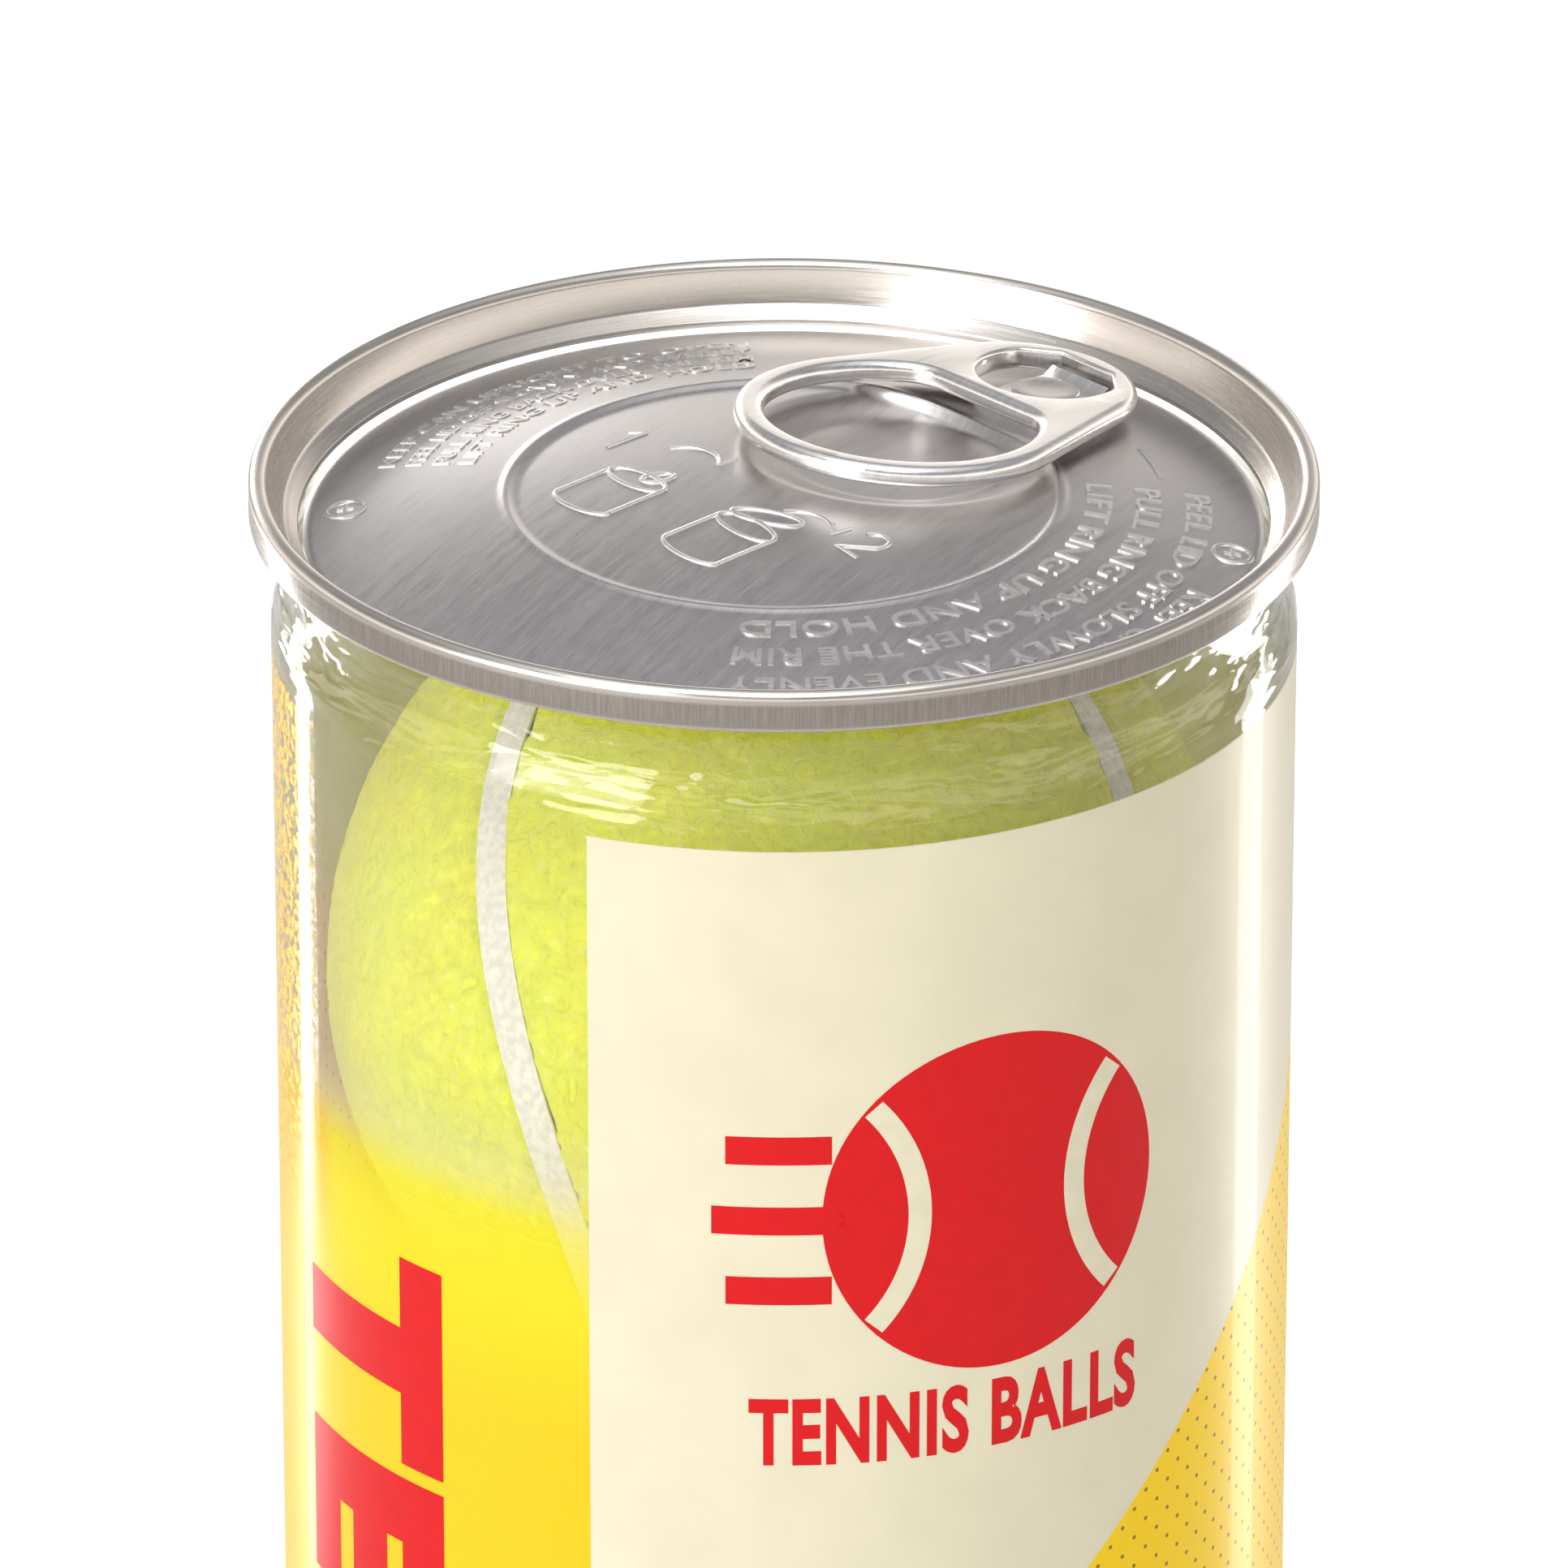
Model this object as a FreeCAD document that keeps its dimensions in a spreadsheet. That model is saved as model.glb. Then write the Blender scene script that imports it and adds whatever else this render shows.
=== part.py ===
"""Tennis ball can: clear container, printed film, peel-off end with a ring tab, three balls.

Origin at the centre of the base, +Z up, millimetres. The mouth's hinge side and the tab lie on
one radial line, turned tab_turn degrees from +X towards +Y. Heights in the end are given from the
top of the seam, so they follow total_height.
"""
import FreeCAD, Part
import math
import os
import re

import Sketcher
from FreeCAD import Placement, Rotation, Vector

SIZES = [
    # container
    ("ball_room", 2.95, "gap between a ball and the container's wall"),
    ("head_room", 6.2, "top ball to the top of the seam"),
    ("body_wall", 0.5, "thickness of the container's wall"),
    ("heel_radius", 4.0, "round between wall and base"),
    ("foot_inside", 29.5, "inner radius of the ring that the can stands on"),
    ("dome_edge", 25.5, "radius where the base's push-up begins"),
    ("push_up", 2.0, "height of the push-up's edge above the ground"),
    ("push_rise", 0.6, "further rise of the push-up to its centre"),
    ("base_wall", 0.7, "thickness of the base"),
    ("neck_step", 1.15, "neck's radius less than the wall's"),
    ("neck_top", 4.7, "top of the straight neck, below the seam's top"),
    ("neck_foot", 7.0, "foot of the straight neck, below the seam's top"),
    ("shoulder_foot", 11.6, "foot of the shoulder, below the seam's top"),
    # printed film
    ("film", 0.1, "thickness of the film"),
    ("film_gap", 0.02, "film to container"),
    ("film_foot", 4.6, "lower edge of the film above the ground"),
    ("film_head", 4.9, "upper edge of the film, below the seam's top"),
    ("film_stand_off", 0.25, "film to container along the neck"),
    # double seam and ring of the end
    ("seam_overhang", 2.75, "seam's outside beyond the neck's"),
    ("seam_height", 3.0, "height of the seam"),
    ("crown", 0.675, "radius of the seam's round top"),
    ("end_sheet", 0.25, "thickness of the end's sheet"),
    ("hook_gap", 0.35, "slot for the container's hook"),
    ("hook_rise", 1.9, "cover hook's length"),
    ("hook_reach", 1.4, "container's hook, down from the cover hook's top"),
    ("hook_lean", 0.06, "lean of the container's hook at its foot"),
    ("flange_gap", 0.2, "container's flange to the seam, below it"),
    ("flange_rise", 1.3, "straight part of the container's flange"),
    ("fold", 0.3, "radius of the seam's lower folds"),
    ("chuck_inset", 2.35, "foot of the chuck wall inside the seam's outside"),
    ("chuck_depth", 2.8, "depth of the chuck wall's foot"),
    ("ledge_width", 1.15, "chuck wall's foot to the inner edge of the ring that stays"),
    ("lip_depth", 3.65, "depth of that edge"),
    ("lip_fold", 0.45, "height of the folded lip"),
    ("ledge_round", 0.6, "round between chuck wall and ledge"),
    ("ledge_run", 0.37, "width of that round"),
    ("ledge_rise", 0.45, "height of that round"),
    ("fit_gap", 0.02, "gap between seamed layers"),
    ("gasket_fill", 0.65, "gasket's share of the room in the seam's crown"),
    # peel-off panel
    ("tear_gap", 0.35, "panel to ring, at the broken score"),
    ("rim_band", 0.5, "width of the panel's sloping edge"),
    ("rim_drop", 0.15, "drop of that edge"),
    ("dome_drop", 0.77, "dome's crown below the seam's top"),
    ("edge_drop", 0.55, "dome's edge below the ring's inner edge"),
    ("step_inside", 18.9, "radius of the step's foot"),
    ("step_outside", 19.9, "radius of the step's head"),
    ("step_depth", 0.27, "depth of the step"),
    ("well_lead", 14.9, "finger well's centre from the rivet"),
    ("well_floor", 7.6, "radius of the well's floor"),
    ("well_mouth", 10.2, "radius of the well's mouth"),
    ("well_depth", 1.2, "depth of the well's floor"),
    ("press_room", 12.0, "depth of the blocks that the panel is cut from"),
    # rivet and tab
    ("tab_turn", 43.5, "tab's direction from +X, degrees"),
    ("tab_tilt", 5.7, "tab's slope down to the nose, degrees"),
    ("rivet_inset", 8.65, "rivet inside the ring's inner edge"),
    ("rivet_shank", 1.6, "rivet's shank radius"),
    ("rivet_head", 2.5, "rivet's head radius"),
    ("rivet_crown", 0.4, "rivet head's thickness"),
    ("rivet_boss", 0.3, "raised seat under the tongue"),
    ("boss_width", 0.9, "seat's width round the shank"),
    ("shank_gap", 0.03, "tongue's hole to the shank"),
    ("tongue_sheet", 0.35, "tongue's thickness"),
    ("tongue_tail", 3.7, "tongue's round end behind the rivet"),
    ("tongue_half", 2.9, "half the tongue's width"),
    ("tongue_bend", 2.6, "start of the tongue's rise"),
    ("tongue_nose", 3.5, "end of the tongue"),
    ("tongue_rise", 0.6, "rise of the tongue's end"),
    ("tab_top", 2.26, "tab's flat above the panel at the rivet"),
    ("tab_height", 1.6, "tab's thickness over its rolled edge"),
    ("ring_place", 14.7, "ring's centre behind the rivet"),
    ("ring_outside", 12.0, "ring's outer radius"),
    ("ring_inside", 9.9, "finger hole's radius"),
    ("hole_end", 6.6, "finger hole's straight side behind the rivet"),
    ("hole_corner", 3.6, "round of the finger hole's corners"),
    ("nose_reach", 5.8, "nose ahead of the rivet"),
    ("nose_radius", 8.4, "radius of the nose"),
    ("window_radius", 5.2, "window round the rivet"),
    ("window_end", 4.0, "window's end ahead of the rivet"),
    ("window_half", 2.6, "half the window's width at its end"),
    ("window_turn", 2.0, "end of the window's round, ahead of the rivet"),
    ("rolled_edge", 0.7, "round of the tab's rolled edge"),
    ("window_edge", 0.3, "round of the window's edge"),
    # balls
    ("ball_radius", 33.1, "ball over its felt"),
    ("ball_gap", 0.3, "between balls and to the base"),
    ("felt", 3.4, "felt's thickness"),
    ("core_wall", 3.4, "rubber core's wall"),
    ("glue_line", 0.02, "felt to core"),
    ("seam_half", 1.15, "half the seam's width"),
    ("seam_sink", 0.45, "seam below the felt"),
]

# Values worked out from the sizes above, as text that setExpression reads.
PLACES = {
    "wall_inside": "(ball_radius + ball_room)",
    "body_radius": "(wall_inside + body_wall)",
    "neck_radius": "(body_radius - neck_step)",
    "neck_inside": "(neck_radius - body_wall)",
    "floor_centre": "(push_up + push_rise + base_wall)",
    "total_height": "(first_ball + 2 * ball_pitch + ball_radius + head_room)",
    "seam_radius": "(neck_radius + seam_overhang)",
    "chuck_radius": "(seam_radius - chuck_inset)",
    "lip_radius": "(chuck_radius - ledge_width)",
    "rivet_place": "(lip_radius - rivet_inset)",
    "well_place": "(rivet_place - well_lead)",
    "seam_inside": "(seam_radius - 2 * crown)",
    "crest": "(seam_radius - crown)",
    "hook_outside": "(seam_radius - end_sheet)",
    "hook_inside": "(hook_outside - hook_gap)",
    "cover_inside": "(hook_inside - end_sheet)",
    "cover_top": "(total_height - seam_height + hook_rise)",
    "gasket_half": "(gasket_fill * (crown - end_sheet))",
    "layer_inside": "(seam_inside + end_sheet)",
    "panel_radius": "(lip_radius - tear_gap)",
    "dome_edge_radius": "(panel_radius - rim_band)",
    "dome_height": "(lip_depth + edge_drop - dome_drop)",
    "dome_radius": "((dome_edge_radius ^ 2 + dome_height ^ 2) / (2 * dome_height))",
    "ball_pitch": "(2 * ball_radius + ball_gap)",
    "first_ball": "(floor_centre + ball_gap + ball_radius)",
    "core_outside": "(ball_radius - felt - glue_line)",
    "nose_centre": "(nose_reach - nose_radius)",
    "film_inside": "(body_radius + film_gap)",
    "neck_film": "(neck_radius + film_stand_off)",
    "shoulder_rise": "(shoulder_foot - neck_foot)",
    "shoulder_round": "((shoulder_rise ^ 2 + neck_step ^ 2) / (4 * neck_step))",
    "film_step": "(film_inside - neck_film)",
    "film_round": "((shoulder_rise ^ 2 + film_step ^ 2) / (4 * film_step))",
}

BALLS = ("bottom", "middle", "top")
BALL_TURNS = {"bottom": (70, 20, 100), "middle": (-160, 65, 30), "top": (48, 22, -28)}

doc = FreeCAD.newDocument("tennis_ball_can")
sheet = doc.addObject("Spreadsheet::Sheet", "Sizes")
for row, (alias, value, note) in enumerate(SIZES, 1):
    sheet.set(f"A{row}", note)
    sheet.set(f"B{row}", str(value))
    sheet.setAlias(f"B{row}", alias)
doc.recompute()
ALIASES = {alias for alias, value, note in SIZES}


def bound(text):
    """Text with every place spelled out and every size named in the sheet."""
    def spell(match):
        word = match.group(0)
        if word in PLACES:
            return bound(PLACES[word])
        return "Sizes." + word if word in ALIASES else word
    return re.sub(r"[a-z][a-z_]+", spell, str(text))


def number(text):
    """Value of an expression, for starting geometry and for shapes set in code."""
    return float(doc.Sizes.evalExpression(bound(text)))


def dome(radius):
    """Depth of the panel's undented top below the seam's top, at a radius."""
    return f"(dome_drop + dome_radius - sqrt(dome_radius ^ 2 - ({radius}) ^ 2))"


def tie(obj, prop, text):
    obj.setExpression(prop, bound(text))


def new_body(name):
    body = doc.addObject("PartDesign::Body", name)
    body.Label = name
    return body


def origin_plane(body, role):
    return next(item for item in body.Origin.OriginFeatures if item.Role == role)


def arc_between(start, end, radius, side):
    """Minor arc from start to end; side is 1 if it runs anticlockwise, -1 if clockwise."""
    middle = (start + end) * 0.5
    along = end - start
    half = along.Length / 2
    reach = math.sqrt(max(radius ** 2 - half ** 2, 0.0))
    across = Vector(-along.y, along.x, 0).normalize()
    centre = middle + across * (reach * side)
    first, last = (start, end) if side > 0 else (end, start)
    angle_a = math.atan2(first.y - centre.y, first.x - centre.x)
    angle_b = math.atan2(last.y - centre.y, last.x - centre.x)
    circle = Part.Circle(centre, Vector(0, 0, 1), radius)
    return Part.ArcOfCircle(circle, angle_a, angle_b)


def sketch_on(body, name, role, lift=None):
    sketch = body.newObject("Sketcher::SketchObject", name)
    sketch.AttachmentSupport = [(origin_plane(body, role), "")]
    sketch.MapMode = "FlatFace"
    if lift is not None:
        tie(sketch, "AttachmentOffset.Base.z", lift)
    return sketch


def draw(sketch, corners):
    """Closed outline. A corner is (x, y), or (x, y, radius, side) if an arc leaves it."""
    points = [Vector(number(corner[0]), number(corner[1]), 0) for corner in corners]
    ends = []
    for index, corner in enumerate(corners):
        start, end = points[index], points[(index + 1) % len(points)]
        if len(corner) == 4:
            arc = arc_between(start, end, number(corner[2]), corner[3])
            geo = sketch.addGeometry(arc, False)
            ends.append((geo, 1, 2) if corner[3] > 0 else (geo, 2, 1))
        else:
            geo = sketch.addGeometry(Part.LineSegment(start, end), False)
            ends.append((geo, 1, 2))
    for index, (geo, first, last) in enumerate(ends):
        following, following_first = ends[(index + 1) % len(ends)][:2]
        sketch.addConstraint(
            Sketcher.Constraint("Coincident", geo, last, following, following_first))
    for index, corner in enumerate(corners):
        geo, first = ends[index][:2]
        for kind, place, value in (("DistanceX", corner[0], points[index].x),
                                   ("DistanceY", corner[1], points[index].y)):
            tag = sketch.addConstraint(Sketcher.Constraint(kind, -1, 1, geo, first, value))
            tie(sketch, f"Constraints[{tag}]", place)
        if len(corner) == 4:
            radius = Sketcher.Constraint("Radius", geo, number(corner[2]))
            tag = sketch.addConstraint(radius)
            tie(sketch, f"Constraints[{tag}]", corner[2])


def revolve(body, name, corners):
    """Solid of revolution about the body's Z axis; corners are radius and height."""
    sketch = sketch_on(body, name + "_outline", "XZ_Plane")
    draw(sketch, corners)
    turned = body.newObject("PartDesign::Revolution", name)
    turned.Profile = sketch
    turned.ReferenceAxis = (sketch, ["V_Axis"])
    turned.Angle = 360
    return turned


def pad(body, name, sketch, length, both_ways=False):
    feature = body.newObject("PartDesign::Pad", name)
    feature.Profile = sketch
    tie(feature, "Length", length)
    feature.Midplane = both_ways
    return feature


def pocket(body, name, sketch, length, reverse):
    feature = body.newObject("PartDesign::Pocket", name)
    feature.Profile = sketch
    tie(feature, "Length", length)
    feature.Reversed = reverse
    return feature


def place(obj, x, y, z, yaw="0", pitch="0", roll="0"):
    """Placement bound to the sheet: a position, and yaw, pitch and roll in degrees."""
    tie(obj, "Placement.Base.x", x)
    tie(obj, "Placement.Base.y", y)
    tie(obj, "Placement.Base.z", z)
    tie(obj, "Placement.Rotation.Yaw", yaw)
    tie(obj, "Placement.Rotation.Pitch", pitch)
    tie(obj, "Placement.Rotation.Roll", roll)


def below_top(depth):
    return f"total_height - ({depth})"


def shoulder(start, end, round_radius, downwards=False):
    """Corners of the S-curve between neck and wall: two arcs that meet halfway."""
    foot, head = below_top("shoulder_foot"), below_top("neck_foot")
    low, high = (head, foot) if downwards else (foot, head)
    middle = below_top("(shoulder_foot + neck_foot) / 2")
    return [(start, low, round_radius, 1),
            (f"({start} + {end}) / 2", middle, round_radius, -1),
            (end, high)]


def make_can_body():
    """Container: foot ring, push-up, wall, shoulder, neck, and the hook inside the seam."""
    body = new_body("can_body")
    revolve(body, "blown_shell", [
        ("foot_inside", "0"),
        ("body_radius - heel_radius", "0", "heel_radius", 1),
        ("body_radius", "heel_radius"),
    ] + shoulder("body_radius", "neck_radius", "shoulder_round") + [
        ("neck_radius", below_top("neck_top")),
        ("seam_inside - flange_gap", below_top("seam_height")),
        ("cover_inside - fit_gap", "cover_top + fit_gap - flange_rise"),
        ("cover_inside - fit_gap", "cover_top + fit_gap"),
        ("hook_inside + fit_gap", "cover_top + fit_gap"),
        ("hook_inside + fit_gap", "cover_top - hook_reach"),
        ("hook_outside - fit_gap - hook_lean", "cover_top - hook_reach"),
        ("hook_outside - fit_gap", below_top("crown + fit_gap")),
        ("layer_inside + fit_gap", below_top("crown + fit_gap")),
        ("chuck_radius + end_sheet + 2 * fit_gap", below_top("chuck_depth + end_sheet")),
        ("neck_inside", below_top("neck_top")),
    ] + shoulder("neck_inside", "wall_inside", "shoulder_round", downwards=True) + [
        ("wall_inside", "heel_radius", "heel_radius - base_wall", -1),
        ("wall_inside - heel_radius + base_wall", "base_wall"),
        ("foot_inside", "base_wall"),
        ("dome_edge", "push_up + base_wall"),
        ("0", "floor_centre"),
        ("0", "push_up + push_rise"),
        ("dome_edge", "push_up"),
    ])
    return body


def make_label_sleeve():
    """Printed film: along the wall, over the shoulder, and loose along the neck."""
    body = new_body("label_sleeve")
    revolve(body, "film_tube", [
        ("film_inside", "film_foot"),
        ("film_inside + film", "film_foot"),
    ] + shoulder("film_inside + film", "neck_film + film", "film_round") + [
        ("neck_film + film", below_top("film_head")),
        ("neck_film", below_top("film_head")),
    ] + shoulder("neck_film", "film_inside", "film_round", downwards=True))
    return body


def make_end_ring():
    """Ring of the end that stays on: seam wall, cover hook, chuck wall, ledge, folded lip."""
    body = new_body("end_ring")
    revolve(body, "ring_sheet", [
        ("seam_inside", below_top("crown"), "crown", -1),
        ("crest", "total_height", "crown", -1),
        ("seam_radius", below_top("crown")),
        ("seam_radius", below_top("seam_height - fold"), "fold", -1),
        ("seam_radius - fold", below_top("seam_height")),
        ("cover_inside + fold", below_top("seam_height"), "fold", -1),
        ("cover_inside", below_top("seam_height - fold")),
        ("cover_inside", "cover_top"),
        ("hook_inside", "cover_top"),
        ("hook_inside", below_top("seam_height - end_sheet")),
        ("hook_outside", below_top("seam_height - end_sheet")),
        ("hook_outside", below_top("crown"), "crown - end_sheet", 1),
        ("crest", below_top("end_sheet"), "crown - end_sheet", 1),
        ("layer_inside", below_top("crown")),
        ("chuck_radius + end_sheet", below_top("chuck_depth + end_sheet")),
        ("lip_radius + end_sheet", below_top("lip_depth + end_sheet")),
        ("lip_radius + end_sheet", below_top("lip_depth + lip_fold")),
        ("lip_radius", below_top("lip_depth + lip_fold")),
        ("lip_radius", below_top("lip_depth")),
        ("chuck_radius - ledge_run / 2", below_top("chuck_depth + ledge_rise / 2"),
         "ledge_round", -1),
        ("chuck_radius + ledge_run / 2", below_top("chuck_depth - ledge_rise / 2")),
    ])
    return body


def make_sealing_compound():
    """Gasket in the crown of the seam, above the container's hook."""
    body = new_body("sealing_compound")
    revolve(body, "gasket", [
        ("crest - gasket_half", below_top("crown")),
        ("crest + gasket_half", below_top("crown")),
        ("crest + gasket_half", below_top("crown - gasket_half")),
        ("crest - gasket_half", below_top("crown - gasket_half")),
    ])
    return body


def panel_block(name, drop):
    """Everything under the panel's top, lowered by drop. Two of these differ by the sheet."""
    body = new_body(name)
    foot = below_top("dome_drop + press_room + " + drop)
    edge = "dome_edge_radius"
    revolve(body, name + "_turned", [
        ("0", foot),
        ("panel_radius", foot),
        ("panel_radius", below_top(dome(edge) + " + rim_drop + " + drop)),
        (edge, below_top(dome(edge) + " + " + drop), "dome_radius", 1),
        ("step_outside", below_top(dome("step_outside") + " + " + drop)),
        ("step_inside", below_top(dome("step_inside") + " + step_depth + " + drop),
         "dome_radius", 1),
        ("0", below_top("dome_drop + step_depth + " + drop)),
    ])
    former = new_body(name + "_well")
    revolve(former, name + "_well_turned", [
        ("0", "-well_depth"),
        ("well_floor", "-well_depth"),
        ("well_mouth", "-well_mouth ^ 2 / (2 * dome_radius)"),
        ("well_mouth", "well_depth"),
        ("0", "well_depth"),
    ])
    place(former, "well_place * cos(tab_turn * 1deg)", "well_place * sin(tab_turn * 1deg)",
          below_top(dome("well_place") + " + " + drop),
          yaw="tab_turn", pitch="asin(well_place / dome_radius) / 1deg")
    dished = doc.addObject("Part::Cut", name + "_dished")
    dished.Base = body
    dished.Tool = former
    return dished


def on_tab(obj):
    """Place an object in the tab's frame: x towards the nose, z up from the panel."""
    place(obj, "rivet_place * cos(tab_turn * 1deg)", "rivet_place * sin(tab_turn * 1deg)",
          below_top(dome("rivet_place")), yaw="tab_turn", pitch="tab_tilt")


def make_end_panel():
    """Peel-off panel: one sheet with dome, step and finger well, and its own rivet."""
    upper = panel_block("panel_top", "0")
    lower = panel_block("panel_underside", "end_sheet")
    pressed = doc.addObject("Part::Cut", "panel_sheet")
    pressed.Base = upper
    pressed.Tool = lower
    rivet = new_body("rivet")
    head = "rivet_boss + tongue_sheet"
    revolve(rivet, "rivet_turned", [
        ("0", "-end_sheet / 2"),
        ("rivet_shank + boss_width", "-end_sheet / 2"),
        ("rivet_shank + boss_width", "rivet_boss"),
        ("rivet_shank", "rivet_boss"),
        ("rivet_shank", head),
        ("rivet_head", head),
        ("rivet_head", head + " + rivet_crown / 2", "rivet_crown / 2", 1),
        ("rivet_head - rivet_crown / 2", head + " + rivet_crown"),
        ("0", head + " + rivet_crown"),
    ])
    on_tab(rivet)
    panel = doc.addObject("Part::Fuse", "end_panel")
    panel.Label = "end_panel"
    panel.Base = pressed
    panel.Tool = rivet
    return panel


def make_tab_tongue():
    """Tongue that the rivet holds, rising towards the tab's bend line."""
    body = new_body("tab_tongue")
    side = sketch_on(body, "tongue_side", "XZ_Plane")
    draw(side, [
        ("-tongue_tail", "rivet_boss"),
        ("tongue_bend", "rivet_boss"),
        ("tongue_nose", "rivet_boss + tongue_rise"),
        ("tongue_nose", "rivet_boss + tongue_rise + tongue_sheet"),
        ("tongue_bend", "rivet_boss + tongue_sheet"),
        ("-tongue_tail", "rivet_boss + tongue_sheet"),
    ])
    pad(body, "tongue_plate", side, "2 * tongue_half", both_ways=True)
    hole = sketch_on(body, "shank_hole", "XY_Plane")
    radius = "rivet_shank + shank_gap"
    circle = Part.Circle(Vector(), Vector(0, 0, 1), number(radius))
    centre = hole.addGeometry(circle, False)
    hole.addConstraint(Sketcher.Constraint("Coincident", centre, 3, -1, 1))
    tag = hole.addConstraint(Sketcher.Constraint("Radius", centre, number(radius)))
    tie(hole, f"Constraints[{tag}]", radius)
    pocket(body, "shank_cut", hole, "3 * (rivet_boss + tongue_sheet)", reverse=True)
    doc.recompute()
    tail = -number("tongue_tail")
    corners = upright_edges(body.Shape, lambda point: abs(point.x - tail) < 1e-4)
    rounding(body, "tongue_tail_round", corners, "tongue_half - tongue_sheet")
    on_tab(body)
    return body


def upright_edges(shape, wanted):
    """Names of straight edges along Z whose middle the test accepts."""
    names = []
    for index, edge in enumerate(shape.Edges, 1):
        box = edge.BoundBox
        upright = box.XLength < 1e-6 and box.YLength < 1e-6
        if upright and wanted(box.Center):
            names.append(f"Edge{index}")
    return names


def level_edges(shape, height, wanted):
    """Names of edges that lie flat at a height and whose middle the test accepts."""
    names = []
    for index, edge in enumerate(shape.Edges, 1):
        box = edge.BoundBox
        level = box.ZLength < 1e-6 and abs(box.ZMin - height) < 1e-4
        if level and wanted(edge):
            names.append(f"Edge{index}")
    return names


def near_rivet(edge, limit):
    """Whether an edge of the tab lies within a distance of the rivet's axis."""
    return all(math.hypot(vertex.X, vertex.Y) < limit for vertex in edge.Vertexes)


def rounding(body, name, edges, radius):
    base = body.Tip
    feature = body.newObject("PartDesign::Fillet", name)
    feature.Base = (base, edges)
    tie(feature, "Radius", radius)
    return feature


def make_pull_tab():
    """Ring tab: rolled edge all round, finger hole, window round the rivet, plate between."""
    body = new_body("pull_tab")
    bottom = "tab_top - tab_height"
    lean = "((ring_outside - nose_radius) / (nose_centre + ring_place))"
    rise = f"sqrt(1 - {lean} ^ 2)"
    ring_touch = (f"-ring_place + ring_outside * {lean}", f"ring_outside * {rise}")
    nose_touch = (f"nose_centre + nose_radius * {lean}", f"nose_radius * {rise}")
    plan = sketch_on(body, "tab_plan", "XY_Plane", bottom)
    draw(plan, [
        ("-ring_place - ring_outside", "0", "ring_outside", 1),
        ("-ring_place", "-ring_outside", "ring_outside", 1),
        (ring_touch[0], "-" + ring_touch[1]),
        (nose_touch[0], "-" + nose_touch[1], "nose_radius", 1),
        ("nose_reach", "0", "nose_radius", 1),
        nose_touch,
        ring_touch + ("ring_outside", 1),
        ("-ring_place", "ring_outside", "ring_outside", 1),
    ])
    pad(body, "tab_blank", plan, "tab_height")
    hole = sketch_on(body, "finger_hole", "XY_Plane", bottom)
    reach = "(ring_place - hole_end - hole_corner)"
    half = f"sqrt((ring_inside - hole_corner) ^ 2 - {reach} ^ 2)"
    lean_x = f"{reach} / (ring_inside - hole_corner)"
    lean_y = f"{half} / (ring_inside - hole_corner)"
    meet_x = f"-ring_place + ring_inside * {lean_x}"
    meet_y = f"ring_inside * {lean_y}"
    draw(hole, [
        ("-ring_place - ring_inside", "0", "ring_inside", 1),
        ("-ring_place", "-ring_inside", "ring_inside", 1),
        (meet_x, "-" + meet_y, "hole_corner", 1),
        ("-hole_end", "-" + half),
        ("-hole_end", half, "hole_corner", 1),
        (meet_x, meet_y, "ring_inside", 1),
        ("-ring_place", "ring_inside", "ring_inside", 1),
    ])
    pocket(body, "finger_cut", hole, "tab_height", reverse=True)
    doc.recompute()
    low, high = number(bottom), number("tab_top")
    rim = [name for height in (low, high)
           for name in level_edges(body.Shape, height, lambda edge: True)]
    rounding(body, "tab_rolled_edge", rim, "rolled_edge")
    window = sketch_on(body, "rivet_window", "XY_Plane", bottom)
    side = "sqrt(window_radius ^ 2 - window_turn ^ 2)"
    draw(window, [
        ("-window_radius", "0", "window_radius", 1),
        ("0", "-window_radius", "window_radius", 1),
        ("window_turn", "-" + side),
        ("window_end", "-window_half"),
        ("window_end", "window_half"),
        ("window_turn", side, "window_radius", 1),
        ("0", "window_radius", "window_radius", 1),
    ])
    pocket(body, "window_cut", window, "tab_height", reverse=True)
    doc.recompute()
    limit = number("(window_radius + hole_end) / 2")
    mouth = [name for height in (low, high)
             for name in level_edges(body.Shape, height, lambda edge: near_rivet(edge, limit))]
    rounding(body, "window_rolled_edge", mouth, "window_edge")
    on_tab(body)
    return body


def make_core_half(ball, upper):
    """Half of a rubber core, closed against its twin at the ball's middle."""
    name = f"ball_{ball}_core_{'upper' if upper else 'lower'}"
    body = new_body(name)
    sign = "" if upper else "-"
    turn = 1 if upper else -1
    inside = "(core_outside - core_wall)"
    revolve(body, name + "_shell", [
        (inside, "0"),
        ("core_outside", "0", "core_outside", turn),
        ("0", sign + "core_outside"),
        ("0", sign + inside, inside, -turn),
    ])
    return body


def seam_side(radius, shift):
    """Closed line beside a ball's seam at a radius; shift is the angle off the seam."""
    steps = 96
    wide, narrow = 0.75, 0.25
    tall = 2 * math.sqrt(wide * narrow)
    points = []
    for step in range(steps):
        turn = 2 * math.pi * step / steps
        spot = Vector(wide * math.cos(turn) + narrow * math.cos(3 * turn),
                      wide * math.sin(turn) - narrow * math.sin(3 * turn),
                      tall * math.sin(2 * turn))
        along = Vector(-wide * math.sin(turn) - 3 * narrow * math.sin(3 * turn),
                       wide * math.cos(turn) - 3 * narrow * math.cos(3 * turn),
                       2 * tall * math.cos(2 * turn))
        across = spot.cross(along).normalize()
        points.append((spot * math.cos(shift) + across * math.sin(shift)) * radius)
    line = Part.BSplineCurve()
    line.interpolate(points, PeriodicFlag=True)
    return line.toShape()


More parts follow.
